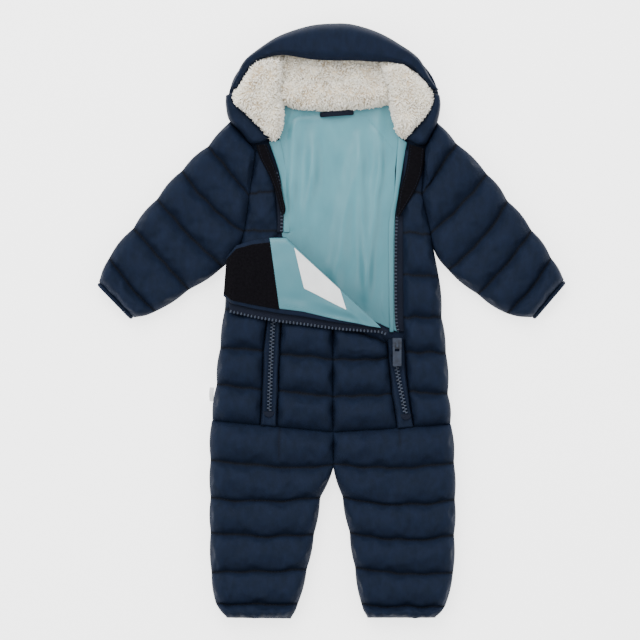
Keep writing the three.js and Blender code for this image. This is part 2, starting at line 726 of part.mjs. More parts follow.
// Sliders and the pull tab that swings on the wearer's left
const SLIDER = { width: 10, length: 12, height: 5.5, base: PLACKET_TOP + GAP };
const TAB = { width: 9.7, length: 25, thickness: 2, window: [5.1, 6.5], bar: 2, dimple: 2, dimpleDepth: 0.7 };
const BAIL = { width: 2.6, wall: 1.4, play: 0.2 };
const PIVOT = { x: 74, y: -27.6, z: SLIDER.base + SLIDER.height + 1.6 };
const HIDDEN_SLIDER = { x: -57, y: 80 };
const BAR_REACH = Math.hypot(TAB.bar, TAB.thickness) / 2; // the bar's corners as it turns

function sliderBody(x, y) {
  return box(SLIDER.width, SLIDER.length, SLIDER.height, x, y, SLIDER.base);
}

function bail() {
  const reach = BAR_REACH + BAIL.play;
  const foot = SLIDER.base + SLIDER.height - 1;
  const crown = PIVOT.z + reach;
  const post = (offset) => box(BAIL.width, BAIL.wall, crown - foot + BAIL.wall, PIVOT.x, PIVOT.y + offset, foot);
  const offset = reach + BAIL.wall / 2;
  const bridge = box(BAIL.width, 2 * offset, BAIL.wall, PIVOT.x, PIVOT.y, crown);
  return [post(offset), post(-offset), bridge];
}

function pullTab() {
  const [half, low] = [TAB.width / 2, TAB.bar / 2 - TAB.length];
  const corner = 1.2;
  const outline = new THREE.Shape();
  outline.moveTo(-half + corner, low);
  outline.lineTo(half - corner, low);
  outline.quadraticCurveTo(half, low, half, low + corner);
  outline.lineTo(half, TAB.bar / 2 - corner);
  outline.quadraticCurveTo(half, TAB.bar / 2, half - corner, TAB.bar / 2);
  outline.lineTo(-half + corner, TAB.bar / 2);
  outline.quadraticCurveTo(-half, TAB.bar / 2, -half, TAB.bar / 2 - corner);
  outline.lineTo(-half, low + corner);
  outline.quadraticCurveTo(-half, low, -half + corner, low);
  const plate = new THREE.ExtrudeGeometry(outline, { depth: TAB.thickness, bevelEnabled: false, curveSegments: 3 });
  plate.translate(0, 0, -TAB.thickness / 2);
  const [width, length] = TAB.window;
  const window = box(width, length, 2 * TAB.thickness, 0, -TAB.bar / 2 - length / 2, -TAB.thickness);
  const dimple = new THREE.CylinderGeometry(TAB.dimple, TAB.dimple, 2 * TAB.dimpleDepth, 16);
  dimple.rotateX(Math.PI / 2).translate(0, low + 4.5, TAB.thickness / 2);
  const tab = solidOf(plate).subtract(solidOf(window)).subtract(solidOf(dimple));
  return geometryOf(tab).translate(PIVOT.x, PIVOT.y, PIVOT.z);
}

add('slider_l', 'puller', joined(sliderBody(PIVOT.x, PIVOT.y + 1.4), ...bail()));
add('pull_tab_l', 'puller', pullTab());
const hiddenPull = box(TAB.width, TAB.length, 1.8, HIDDEN_SLIDER.x, HIDDEN_SLIDER.y - 8, SLIDER.base + SLIDER.height - 0.1);
add('slider_r', 'puller', joined(sliderBody(HIDDEN_SLIDER.x, HIDDEN_SLIDER.y), hiddenPull));

// Small trims
const END_STOPS = { r: { x: -69.6, y: -102.5 }, l: { x: 83.8, y: -105.6 } };
for (const side of ['r', 'l']) {
  const arc = new THREE.Shape();
  arc.absarc(0, 0, 6, Math.PI, 2 * Math.PI);
  const stop = new THREE.ExtrudeGeometry(arc, { depth: 1.2, bevelEnabled: false, curveSegments: 8 });
  const { x, y } = END_STOPS[side];
  add(`zip_end_${side}`, 'tape', stop.translate(x, y, PLACKET_TOP + GAP));
}

const LOOP = { length: 39, width: 6.5, thickness: 2, lift: 1.5, x: 6.5, y: 232.6, turn: 0.07 };
const loop = new THREE.BoxGeometry(LOOP.length, LOOP.width, LOOP.thickness).rotateZ(LOOP.turn);
add('hanging_loop', 'tape', loop.translate(LOOP.x, LOOP.y, ON_LINING + LOOP.lift + LOOP.thickness / 2));
add('side_tab', 'patch', box(4, 16, 1, -133.2, -83.5, 6));

export default garment;
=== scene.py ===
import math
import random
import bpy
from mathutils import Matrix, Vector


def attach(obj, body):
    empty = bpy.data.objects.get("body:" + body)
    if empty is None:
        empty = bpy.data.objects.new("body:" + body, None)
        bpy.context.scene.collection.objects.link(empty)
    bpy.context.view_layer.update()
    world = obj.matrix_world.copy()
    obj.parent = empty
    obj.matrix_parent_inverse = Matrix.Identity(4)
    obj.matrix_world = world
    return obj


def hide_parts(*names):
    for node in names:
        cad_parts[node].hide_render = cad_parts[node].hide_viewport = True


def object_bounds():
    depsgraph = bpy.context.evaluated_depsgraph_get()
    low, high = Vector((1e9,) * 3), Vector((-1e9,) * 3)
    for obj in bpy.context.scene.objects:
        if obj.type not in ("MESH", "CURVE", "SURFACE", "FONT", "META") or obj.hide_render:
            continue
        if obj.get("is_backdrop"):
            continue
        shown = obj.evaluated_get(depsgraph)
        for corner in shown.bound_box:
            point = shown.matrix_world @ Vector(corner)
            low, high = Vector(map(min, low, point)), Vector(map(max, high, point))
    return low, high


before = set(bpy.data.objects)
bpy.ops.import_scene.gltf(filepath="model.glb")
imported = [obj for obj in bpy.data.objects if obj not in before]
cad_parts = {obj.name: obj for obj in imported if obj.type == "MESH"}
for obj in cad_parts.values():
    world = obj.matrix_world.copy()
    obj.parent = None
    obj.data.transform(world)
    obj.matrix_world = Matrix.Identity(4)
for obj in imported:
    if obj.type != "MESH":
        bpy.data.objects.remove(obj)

# A baby's hooded, quilted snowsuit laid on its back, half unzipped, dressed around its solids.
# X runs to the wearer's left, Y from the hems to the hood and Z up from the table. Tables are in
# millimetres from the garment's own zero. Names that end in _r and _l are the wearer's sides.
from types import SimpleNamespace

import bmesh
import bpy
import numpy as np
from mathutils import Matrix, Vector, noise
from mathutils.bvhtree import BVHTree
from mathutils.geometry import intersect_point_line

CAD_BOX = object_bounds()
MM = 0.001
SIDES = ("r", "l")
ZERO = Vector((-0.61, 0.5, 0.0))  # the solids are moved by this to stand centred

# Driving sizes, in millimetres, as the solids have them
GAP = 0.3
BACK_WALL = 10.0
LINE_WALL = 7.5
CREST_WALL = 18.0
EDGE_WALL = 3.0
NECK_LOFT = 0.1
CLOTH = 1.5
FLEECE = 2.5
FRONT_BASE = BACK_WALL + GAP
PLACKET_TOP = FRONT_BASE + 10.0
CREST_TOP = FRONT_BASE + CREST_WALL
ON_LINING = FRONT_BASE + CLOTH + GAP
GUARD_BASE = FRONT_BASE + LINE_WALL + (CREST_WALL - LINE_WALL) * NECK_LOFT + GAP
FLAP_BASE = CREST_TOP + GAP


def table(columns, *rows):
    names = columns.split()
    return [SimpleNamespace(**dict(zip(names, row))) for row in rows]


# Each row is one quilt line: its ends, its sag towards the next row, and how far the
# outline swells between it and the next row at each end
SECTION = "line ax ay bx by sag swell_a swell_b"

SLEEVE_R = table(
    SECTION,
    ("shoulder", -113, 221, -85, 189, 0, 1.5, 0),
    ("upper_arm", -137, 194, -92, 139.5, 0, 2.5, 0),
    ("armpit", -166, 167, -97.5, 100, 6, 2.5, 5),
    ("elbow", -194, 135, -122, 60, 2, 2.5, 2),
    ("forearm", -221, 102, -160, 35, 0, 2.5, 2),
    ("wrist", -248, 69, -198, 10, 2, 1.5, 1.5),
    ("cuff", -259, 43, -221, 4, 0, 0, 0),
)
SLEEVE_L = table(
    SECTION,
    ("shoulder", 119, 220, 105.5, 191, 0, 1.5, 0),
    ("upper_arm", 140, 197, 102.5, 142, 0, 2.5, 0),
    ("armpit", 174, 163, 112.5, 98, 3, 2.5, 5),
    ("elbow", 197, 133, 132, 57, 6, 2.5, 2),
    ("forearm", 224, 100, 165, 30, 3, 2.5, 2),
    ("wrist", 246, 69, 198, 8, 3, 1.5, 1.5),
    ("cuff", 260, 45, 225, 4, 0, 0, 0),
)
SIDE_R = table(
    SECTION,
    ("neck", -84, 188, -73, 188, 0, 0, 0),
    ("chest", -91, 142, -64, 144, 0, 0, 0),
    ("armpit", -96.5, 100, -61, 100, 0, 0, 0),
    ("ribs", -112, 57, -66, 54, 0, 1.5, 0),
    ("waist", -118, 12, -71, 10, 0, 1.5, 0),
    ("pocket", -123, -31, -76, -34, 0, 2, 0),
    ("hip", -127, -72, -77.5, -78, 0, 2, 0),
    ("seat", -132, -112.7, -79.5, -117.5, 0, 0, 0),
)
SIDE_L = table(
    SECTION,
    ("neck", 84, 190, 104, 190, 0, 0, 0),
    ("chest", 81.5, 144, 101.5, 142, 0, 0, 0),
    ("armpit", 81.5, 98, 111, 96, 0, 0, 0),
    ("ribs", 81.5, 51, 120, 49, 0, 0, 1.5),
    ("waist", 82, 3, 123, 3, 0, 0, 1.5),
    ("pocket", 83, -36, 128, -37, 0, 0, 2),
    ("hip", 87, -80, 130, -83, 0, 0, 2),
    ("seat", 93.4, -119.8, 133, -115.8, 0, 0, 0),
)
CENTRE_R = table(
    SECTION,
    ("fold", -50, 86, 2, 37, 0, 0, 0),
    ("waist", -55, 3, 2, -2, 0, 0, 0),
    ("pocket", -57, -38, 2, -44, 0, 0, 0),
    ("hip", -58.7, -79, 2, -86, 0, 0, 0),
    ("seat", -60.5, -119.6, 2.2, -125.3, 0, 0, 0),
)
CENTRE_L = table(
    SECTION,
    ("fold", 2.4, 36.6, 55, -13, 0, 0, 0),
    ("waist", 2.4, -2, 62, -26, 0, 0, 0),
    ("pocket", 2.4, -44, 64, -42, 0, 0, 0),
    ("hip", 2.4, -86, 68, -83, 0, 0, 0),
    ("seat", 2.6, -125.4, 74, -121.2, 0, 0, 0),
)
LEG_R = table(
    SECTION,
    ("seat", -132.6, -113.2, 2.4, -126, 0, 2, 0),
    ("crotch", -134, -157, 2.8, -162, 4, 1.5, 1.5),
    ("thigh", -134, -199, -13, -199, 3, 1.5, 1.5),
    ("knee", -134, -238, -20, -240, 3, 1.5, 1.5),
    ("calf", -133, -283, -28, -279, 1, 1.5, 1.5),
    ("ankle", -128, -318, -38, -318, 0, 1, 1),
    ("hem", -116, -333, -46, -334, 0, 0, 0),
)
LEG_L = table(
    SECTION,
    ("seat", 2.9, -126.4, 133.6, -117.2, 0, 0, 2),
    ("crotch", 2.8, -161, 137, -160, 5, 1.5, 1.5),
    ("thigh", 14, -198, 138, -201, 7, 1.5, 1.5),
    ("knee", 22, -238, 137, -241, 6, 1.5, 1.5),
    ("calf", 28, -277, 136, -283, 4, 1.5, 1.5),
    ("ankle", 35, -318, 127, -321, 2, 1, 1),
    ("hem", 42, -333, 116, -333, 0, 0, 0),
)
BACK_BODY = table(
    SECTION,
    ("neck", -112, 221, 118, 220.5, 0, 0, 0),
    ("raglan", -84, 188.5, 104.8, 190.5, 0, 0, 0),
    ("chest", -91, 140, 101.6, 142, 0, 0, 0),
    ("armpit", -96.5, 100, 111, 97, 0, 0, 0),
    ("ribs", -112, 57, 120, 49, 0, 1.5, 1.5),
    ("waist", -118, 12, 123, 3, 0, 1.5, 1.5),
    ("pocket", -123, -31, 128, -37, 0, 2, 2),
    ("hip", -127, -72, 130, -83, 0, 2, 2),
    ("seat", -132, -117, 133, -117, 0, 0, 0),
)
HOOD_BACK = table(
    SECTION,
    ("crown", -22, 326.5, 26, 326.5, 0, 5, 5),
    ("brow", -70, 307, 74, 307, 0, 2, 2),
    ("temple", -100, 284, 105, 284, 0, 2, 2),
    ("cheek", -113, 258, 119, 258, 0, 1, 1),
    ("collar", -115, 240, 121, 240, 0, 0, 0),
    ("neck", -112, 221.5, 118, 221.2, 0, 0, 0),
)

MOUND = "ax ay bx by rise"
BRIM = table(
    MOUND,
    (-113, 261, -104, 258, 20), (-106, 275, -97, 271, 26), (-97, 291, -85, 286, 32),
    (-80, 305, -70, 293, 36), (-62, 317, -52, 295, 38), (-43, 325, -31, 291.5, 40),
    (-21, 331, -18, 289.5, 42), (1, 333, 2, 288.5, 42), (24, 332, 25, 288.5, 42),
    (53, 323, 46, 287.5, 40), (78, 309, 66, 287, 38), (99, 293, 86, 282, 34),
    (112, 270, 101, 270, 28), (121, 258, 111, 258, 22),
)
ROLLS = {
    "r": table(
        MOUND,
        (-66, 293, -58, 291, 24), (-86, 284, -57.5, 284, 34), (-95, 270, -57.5, 272, 38),
        (-102.5, 257, -57.5, 258, 38), (-107, 246, -57.5, 246, 36), (-95, 235, -57, 234, 33),
        (-83, 224, -57.5, 222, 29), (-74, 214, -60, 212, 24), (-66, 205.5, -62.5, 205, 16),
    ),
    "l": table(
        MOUND,
        (59, 286, 68, 286, 24), (61, 279, 86, 279, 34), (65, 268, 99, 268, 38),
        (67, 258, 108, 257, 38), (68, 247, 111, 247, 36), (71, 236, 107, 235, 33),
        (73, 225, 98, 224, 29), (75.5, 215, 89, 215, 24), (80, 207.5, 83, 207.5, 16),
    ),
}
COLLARS = {
    "r": table(
        MOUND,
        (-118, 252, -108.4, 256, 16), (-118, 240, -107.8, 244, 20), (-114, 223.5, -95, 233, 20),
        (-99.5, 208.5, -82, 220, 19), (-91, 198, -73, 211, 17), (-79, 198, -67.6, 205, 14),
    ),
    "l": table(
        MOUND,
        (113.4, 256, 122, 252, 16), (113, 243, 123, 240, 20), (100, 223, 119.5, 221.5, 20),
        (92, 214, 112, 206, 19), (86, 208, 106.6, 197.5, 18), (85, 203, 98, 195.5, 14),
    ),
}
PILE_BACK = table(MOUND + " sag", (-55, 288, 57, 283, 8, 0), (-56, 274, 58, 272, 10, -2))
PILE_NECK = table(
    MOUND + " sag",
    (-56, 271, 60, 271, 9, 4), (-56, 260, 64, 260, 19, 3),
    (-55, 249, 65, 251, 16, 6), (-54, 245, 65, 247, 7, 8),
)
EDGES = "ax ay bx by"
GUARDS = {
    "r": table(
        EDGES,
        (-84, 196, -72, 197), (-80, 182, -66, 181), (-70, 163, -59, 160),
        (-62, 142, -54, 140), (-58, 126, -50.5, 125), (-55, 118, -52, 118),
    ),
    "l": table(
        EDGES,
        (87.5, 197, 105, 192), (84, 171, 103, 169), (80, 155, 99, 155),
        (76, 142, 93, 142), (74.5, 128, 85, 129), (73, 116, 76, 114),
    ),
}
ZIP_EDGES = {
    "r": table(
        EDGES,
        (-68, 168, -60, 166), (-62.5, 142, -54.5, 142), (-60, 118, -53.5, 118), (-60.5, 98, -54, 98),
    ),
    "l": table(
        EDGES,
        (73, 117, 81, 117), (71.5, 98, 81, 98), (71, 51, 81, 51), (71.5, 3, 81.5, 3), (74, -13, 82, -13),
    ),
}
FACINGS = {
    "r": table(
        EDGES,
        (-70, 200, -57, 202), (-59, 168, -50, 168), (-54, 140, -46.5, 140),
        (-53, 118, -45.5, 118), (-53.5, 98, -46, 98),
    ),
    "l": table(
        EDGES,
        (75.5, 206, 85.5, 199), (73.5, 180, 82, 180), (71, 142, 76, 142),
        (66, 117, 72, 117), (64.5, 90, 70.6, 90), (65.5, -14, 70.6, -14),
    ),
}
PLACKETS = {
    "r": table(
        EDGES,
        (-61.8, 78, -51.2, 78), (-65.4, 54, -52.9, 52), (-70.5, 10, -55.6, 5),
        (-75.5, -34, -57.6, -38), (-77.2, -78, -59, -79), (-79.2, -119.0, -60.8, -120.9),
    ),
    "l": table(
        EDGES,
        (62.8, -21, 82, -21), (64.4, -42, 82.8, -36), (68.4, -83, 86.7, -80), (74.4, -122.7, 93, -121.2),
    ),
}
CHAINS = {
    "r": table("x y", (-57.5, 72), (-60, 40), (-65.5, -11), (-67.8, -60), (-69.2, -101)),
    "l": table("x y", (73.2, -38), (73.4, -53), (77.5, -75), (83.5, -104)),
}
FLAP = table(
    MOUND,
    (-117.5, 70, -121, 27, 6), (-106, 84, -112, 18, 7.5), (-88, 90, -86, 12, 8),
    (-69, 93, -57, 6.5, 8), (-68.4, 93, -56.4, 6.5, 8), (-50, 93, -30, 3, 8),
    (-28, 72, -8, -1, 8), (-6, 51, 10, -4, 7.5), (16, 30, 28, -6, 7), (38, 9, 43, -8, 6),
    (54, -6.5, 56, -9, 4),
)
FLAP_ZIP = table(
    EDGES,
    (-114, 22, -114, 9), (-86, 17, -86, 2.5), (-57, 12, -57, -2.5), (-30, 8, -30, -5.8),
    (-8, 4, -8, -9), (10, 1, 10, -11), (28, -1.5, 28, -12.5), (43, -5, 43, -13.5),
    (56, -8, 55, -14.5), (64, -12, 62, -17.5),
)
LINING = table(
    EDGES,
    (-57, 243, 66, 243), (-59, 210, 77, 206), (-56, 168, 72, 168), (-56, 118, 72, 118),
    (-55, 93.5, 72, 90), (-39.3, 77.2, 74, 40), (0.8, 39.4, 76, 0), (40.8, 1.8, 76, -14),
)


# Shader nodes as Python expressions
class Socket:
    """One output socket; arithmetic on it adds Math nodes."""

    def __init__(self, graph, link):
        self.graph = graph
        self.link = link

    def math(self, operation, *values):
        return self.graph.node("ShaderNodeMath", {"operation": operation}, dict(enumerate(values)))

    def __add__(self, other):
        return self.math("ADD", self, other)

    def __sub__(self, other):
        return self.math("SUBTRACT", self, other)

    def __rsub__(self, other):
        return self.math("SUBTRACT", other, self)

    def __mul__(self, other):
        return self.math("MULTIPLY", self, other)

    def __pow__(self, other):
        return self.math("POWER", self, other)

    __radd__ = __add__
    __rmul__ = __mul__

    def clamped(self):
        return self.graph.node("ShaderNodeClamp", {}, {"Value": self})


class Finish:
    """A material and its node graph."""

    def __init__(self, name, **shader):
        self.material = bpy.data.materials.new(name)
        self.material.use_nodes = True
        self.tree = self.material.node_tree
        self.shader = self.tree.nodes["Principled BSDF"]
        for socket, value in shader.items():
            self.shader.inputs[socket.replace("_", " ")].default_value = value

    def node(self, kind, settings, inputs, output=0):
        made = self.tree.nodes.new(kind)
        for key, value in settings.items():
            if key == "stops":
                for stop, (place, colour) in zip(made.color_ramp.elements, value):
                    stop.position = place
                    stop.color = colour
            else:
                setattr(made, key, value)
        for key, value in inputs.items():
            self.feed(made.inputs[key], value)
        return Socket(self, made.outputs[output])

    def feed(self, socket, value):
        if isinstance(value, Socket):
            self.tree.links.new(value.link, socket)
        else:
            socket.default_value = value

    def set(self, socket, value):
        self.feed(self.shader.inputs[socket], value)

    def place(self):
        return self.node("ShaderNodeTexCoord", {}, {}, "Object")

    def attribute(self, name):
        return self.node("ShaderNodeAttribute", {"attribute_name": name}, {}, "Fac")

    def noise(self, place, scale, detail=3.0, roughness=0.55):
        values = {"Vector": place, "Scale": scale, "Detail": detail, "Roughness": roughness}
        return self.node("ShaderNodeTexNoise", {}, values)

    def tones(self, value, dark, light, start=0.3, end=0.7):
        """A ramp from a dark tone to a light one, each in the eye's 0 to 255."""
        stops = ((start, rgba(*dark)), (end, rgba(*light)))
        return self.node("ShaderNodeValToRGB", {"stops": stops}, {"Fac": value})

    def stretch(self, place, scale):
        return self.node("ShaderNodeMapping", {}, {"Vector": place, "Scale": scale})

    def mix(self, share, first, second):
        values = {0: share, 6: first, 7: second}
        return self.node("ShaderNodeMix", {"data_type": "RGBA"}, values, 2)

    def bump(self, height, strength, distance):
        values = {"Height": height, "Strength": strength, "Distance": distance}
        return self.node("ShaderNodeBump", {}, values)

    def weave(self, place, threads):
        """Over-and-under threads: two sine waves, one each way, in chequers."""
        values = {"Vector": place, "Scale": threads}
        warp = self.node("ShaderNodeTexWave", {"bands_direction": "X"}, values)
        weft = self.node("ShaderNodeTexWave", {"bands_direction": "Y"}, values)
        return warp * weft + (1 - warp) * (1 - weft)


def rgba(red, green, blue):
    """A colour given in the eye's 0 to 255, as the shader's linear values."""
    shares = [value / 255 for value in (red, green, blue)]
    linear = [share / 12.92 if share <= 0.04045 else ((share + 0.055) / 1.055) ** 2.4 for share in shares]
    return (*linear, 1.0)


def shell_nylon():
    """Matt woven shell, crushed along the channels, with painted shade in its stitched lines and folds.
    """
    finish = Finish("shell_nylon", Roughness=0.78, Specular_IOR_Level=0.14)
    crush = finish.noise(finish.stretch(finish.place(), (1.0, 0.55, 1.0)), 130.0, 2.0, 0.6)
    cloth = finish.tones(crush, (7, 18, 35), (11, 23, 43), end=0.72)
    # painted shade: the crease attribute mixes the cloth towards near-black where the quilt lines, seams
    # and pleat folds lie in shade
    painted_crease_shade = finish.attribute("crease").clamped() ** 1.8
    finish.set("Base Color", finish.mix(painted_crease_shade, cloth, rgba(1, 2, 6)))
    finish.set("Normal", finish.bump(crush, 0.3, 0.0008))
    return finish.material


def satin_lining():
    """Smooth lining, a little darker low down, where the closed front shades it."""
    finish = Finish("satin_lining", Roughness=0.45, Sheen_Weight=0.12)
    place = finish.place()
    crush = finish.noise(finish.stretch(place, (1.0, 0.5, 1.0)), 45.0, 2.0, 0.6)
    cloth = finish.tones(crush, (66, 126, 138), (76, 137, 149))
    up_the_suit = finish.node("ShaderNodeSeparateXYZ", {}, {"Vector": place}, "Y")
    in_light = (up_the_suit * 7.0 - 0.1).clamped()
    finish.set("Base Color", finish.mix(in_light, rgba(56, 110, 121), cloth))
    finish.set("Normal", finish.bump(crush, 0.25, 0.002))
    return finish.material


def black_fleece():
    finish = Finish("black_fleece", Roughness=1.0, Specular_IOR_Level=0.1)
    nap = finish.noise(finish.place(), 420.0, 2.0, 0.7)
    finish.set("Base Color", finish.tones(nap, (3, 2, 5), (10, 9, 13), end=0.75))
    finish.set("Normal", finish.bump(nap, 0.5, 0.0008))
    return finish.material


def sherpa_pile():
    """Cream pile with painted shade: tan between its clumps at the roots, nearly white at the tips."""
    finish = Finish("sherpa_pile", Roughness=0.9, Sheen_Weight=0.3, Sheen_Roughness=0.5)
    place = finish.place()
    tone = finish.noise(place, 90.0, 1.0)
    # painted shade: a noise paints tan into the gaps between clumps, and the tip attribute keeps it to
    # the roots
    painted_clump_shade = (finish.noise(place, 55.0, 1.0) * 4.0 - 1.4).clamped()
    deep = finish.mix(painted_clump_shade, rgba(216, 198, 168), rgba(248, 240, 222))
    light = finish.mix(tone, rgba(252, 247, 234), rgba(255, 253, 245))
    finish.set("Base Color", finish.mix(finish.attribute("tip"), deep, light))
    return finish.material


def woven_tape():
    finish = Finish("woven_tape", Roughness=0.85, Specular_IOR_Level=0.2)
    threads = finish.weave(finish.place(), 420.0)
    finish.set("Base Color", finish.tones(threads, (6, 11, 24), (12, 19, 36), 0.2, 0.8))
    finish.set("Normal", finish.bump(threads, 0.35, 0.0004))
    return finish.material


def moulded_teeth():
    finish = Finish("moulded_teeth", Roughness=0.35)
    tone = finish.noise(finish.place(), 300.0)
    finish.set("Base Color", finish.tones(tone, (18, 29, 46), (30, 45, 67), end=0.75))
    finish.set("Roughness", 0.3 + 0.15 * tone)
    return finish.material


def lacquered_metal():
    finish = Finish("lacquered_metal", Roughness=0.3, Coat_Weight=0.4, Coat_Roughness=0.15, Metallic=0.25)
    wear = finish.noise(finish.place(), 260.0, 5.0)
    finish.set("Base Color", finish.tones(wear, (15, 24, 40), (32, 46, 66), end=0.8))
    finish.set("Roughness", 0.26 + 0.2 * wear)
    return finish.material


def label_satin():
    finish = Finish("label_satin", Roughness=0.5, Sheen_Weight=0.15)
    place = finish.place()
    tone = finish.noise(place, 40.0)
    finish.set("Base Color", finish.tones(tone, (226, 229, 230), (240, 242, 242)))
    finish.set("Normal", finish.bump(finish.weave(place, 800.0), 0.12, 0.0002))
    return finish.material


def sewing_thread(name, dark, light):
    finish = Finish(name, Roughness=0.8, Specular_IOR_Level=0.2)
    tone = finish.noise(finish.place(), 500.0, 1.0)
    finish.set("Base Color", finish.tones(tone, dark, light))
    return finish.material


NYLON = shell_nylon()
SATIN = satin_lining()
BLACK = black_fleece()
SHERPA = sherpa_pile()
TAPE = woven_tape()
TEETH = moulded_teeth()
LACQUER = lacquered_metal()
LABEL = label_satin()
NAVY_THREAD = sewing_thread("navy_thread", (8, 13, 24), (14, 22, 38))
TEAL_THREAD = sewing_thread("teal_thread", (78, 124, 134), (100, 148, 158))


# Plans: where a piece's rows put a point, in millimetres
def end_point(row, onward, end, share):
    point = Vector((getattr(row, f"{end}x"), getattr(row, f"{end}y")))
    goal = Vector((getattr(onward, f"{end}x"), getattr(onward, f"{end}y")))
    other = "b" if end == "a" else "a"
    away = point - Vector((getattr(row, f"{other}x"), getattr(row, f"{other}y")))
    along = (goal - point).normalized()
    out = Vector((along.y, -along.x))
    if out.dot(away) < 0:
        out.negate()
    swell = getattr(row, f"swell_{end}", 0) * math.sin(math.pi * share)
    return point.lerp(goal, share) + out * swell


def middle(row):
    return Vector((row.ax + row.bx, row.ay + row.by)) / 2


def mix(start, end, share):
    return start + (end - start) * share


def lumps(x, y, size, seed=0.0):
    return noise.noise(Vector((x / size, y / size, seed)))


def clipped(value):
    return min(1.0, max(0.0, value))


def bell(off, width):
    """1 on a line, falling smoothly to nothing a few widths off it."""
    return math.exp(-((off / width) ** 2))


def fading(share, pace):
    """1 in the middle of a piece, falling to 0 at both its ends."""
    return min(1.0, pace * share, pace * (1 - share))


def row_share(rows, down):
    """The row that a place down a piece lies after, the next one, and the share between them."""
    index = min(int(down), len(rows) - 2)
    return rows[index], rows[index + 1], down - index


NEAR = 1e-4  # a share this close to a line is on it
SEAM_GROW = 1.1  # the pads press together at their seams
LINE_SWAY = 2.2  # how far a quilt line wanders
SWAYS_ACROSS = 5.0
LINE_SEED = 7.3  # keeps the wandering of one line apart from the next


def grown_point(rows, down, across):
    """A point of a pad's plan, let out a little past its rows all round."""
    row, onward, _ = row_share(rows, down)
    a, b = plan_point(rows, down, 0.0), plan_point(rows, down, 1.0)
    point = plan_point(rows, down, across) + (b - a).normalized() * SEAM_GROW * (2 * across - 1)
    way = (middle(onward) - middle(row)).normalized() * SEAM_GROW
    if down < NEAR:
        return point - way
    if down > len(rows) - 1 - NEAR:
        return point + way
    return point


def quilt_point(rows, down, across):
    """A pad's plan with its quilt lines a little unsteady, as sewn ones are."""
    point = grown_point(rows, down, across)
    if 0 < down < len(rows) - 1:
        sway = noise.noise(Vector((across * SWAYS_ACROSS, round(down) * LINE_SEED, rows[0].ax)))
        point.y += sway * LINE_SWAY * fading(across, 8)
    return point


def plan_point(rows, down, across):
    row, onward, share = row_share(rows, down)
    a = end_point(row, onward, "a", share)
    b = end_point(row, onward, "b", share)
    sag = mix(getattr(row, "sag", 0), getattr(onward, "sag", 0), share)
    way = (middle(onward) - middle(row)).normalized()
    return a.lerp(b, across) + way * (sag * 4 * across * (1 - across))


def edge_rise(across, rounding):
    inward = min(1.0, min(across, 1 - across) / rounding)
    return math.sqrt(max(0.0, 1 - (1 - inward) ** 2))


# Mesh makers
def in_order(bm):
    """Puts edges and faces in the order of their points, so that each run numbers them alike."""
    bm.verts.index_update()
    count = len(bm.verts)

    def by_points(part):
        numbers = [vert.index for vert in part.verts]
        return min(numbers) * count + max(numbers)

    bm.edges.sort(key=by_points)
    bm.faces.sort(key=by_points)


def add_piece(name, mesh, material, nodes, smooth=True):
    """Puts a mesh in the scene as a piece of the garment, in place of its solids."""
    piece = bpy.data.objects.new(name, mesh)
    bpy.context.scene.collection.objects.link(piece)
    mesh.materials.append(material)
    mesh.polygons.foreach_set("use_smooth", [smooth] * len(mesh.polygons))
    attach(piece, "garment")
    for node in nodes:
        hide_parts(node)
    return piece


def new_piece(name, bm, material, nodes):
    mesh = bpy.data.meshes.new(name)
    in_order(bm)
    bm.to_mesh(mesh)
    bm.free()
    return add_piece(name, mesh, material, nodes)


def grid_bmesh(down, across):
    """A flat grid whose vertices carry their place: x is across and y is down, 0 to 1."""
    bm = bmesh.new()
    bmesh.ops.create_grid(bm, x_segments=across, y_segments=down, size=0.5)
    for vert in bm.verts:
        vert.co = (vert.co.x + 0.5, 0.5 - vert.co.y, 0.0)
    return bm


def solid_place(x, y, z):
    """A place in the garment's millimetres, in the frame's metres."""
    return (Vector((x, y, z)) + ZERO) * MM


def shape_grid(bm, place):
    for vert in bm.verts:
        vert.co = solid_place(*place(vert.co.y, vert.co.x))


def close_pad(bm, level):
    """Turns an open sheet into a closed pad with a flat face at a level."""
    made = bmesh.ops.extrude_face_region(bm, geom=list(bm.faces), use_keep_orig=True)["geom"]
    for part in made:
        if isinstance(part, bmesh.types.BMVert):
            part.co.z = level * MM
    bmesh.ops.recalc_face_normals(bm, faces=bm.faces)


EDGE_CROWDING = 0.45  # 0 spaces the columns evenly, 1 crowds them at the edges


def even_places(count):
    """Columns across a piece, closer together where it rounds over at its edges."""
    curve = [0.5 - 0.5 * math.cos(math.pi * i / count) for i in range(count + 1)]
    return [mix(i / count, curve[i], EDGE_CROWDING) for i in range(count + 1)]


# Quilting
STITCH_PULL = 2.2  # how far the thread draws a quilt line under its wall
LINE_PITCH = 40.0  # a channel's usual height
PUCKER = 1.3  # the small folds beside a line
PUCKER_REACH = 5.0
PUCKERS_ACROSS = 60
PUCKER_SIZE = 1.6
PUCKER_SEED = 9.0
HEM_SHARE = 0.85  # of the last channel, gathered below its stitch line
HEM_PLEATS = 7
PLEAT_SHADE = 0.8
SEAM_DEPTH = 2.2
SEAM_WIDTH = 2.0
SEAM_FADE = 12.0
SEAM_SHADE = 0.7


def smooth_step(share):
    return share * share * (3 - 2 * share)


def quilted_height(share, loft, across, rounding):
    swell = math.sin(math.pi * share) ** 0.5
    wall = mix(LINE_WALL - STITCH_PULL, mix(LINE_WALL, CREST_WALL, loft), swell)
    return FRONT_BASE + mix(EDGE_WALL, wall, edge_rise(across, rounding))


def pucker(at, across):
    """The small folds that a line of stitches draws up beside it."""
    line = round(at)
    near_line = math.exp(-abs(at - line) * LINE_PITCH / PUCKER_REACH)
    fold = lumps(across * PUCKERS_ACROSS, line * PUCKER_SEED, PUCKER_SIZE)
    return PUCKER * near_line * fold * edge_rise(across, 0.1)


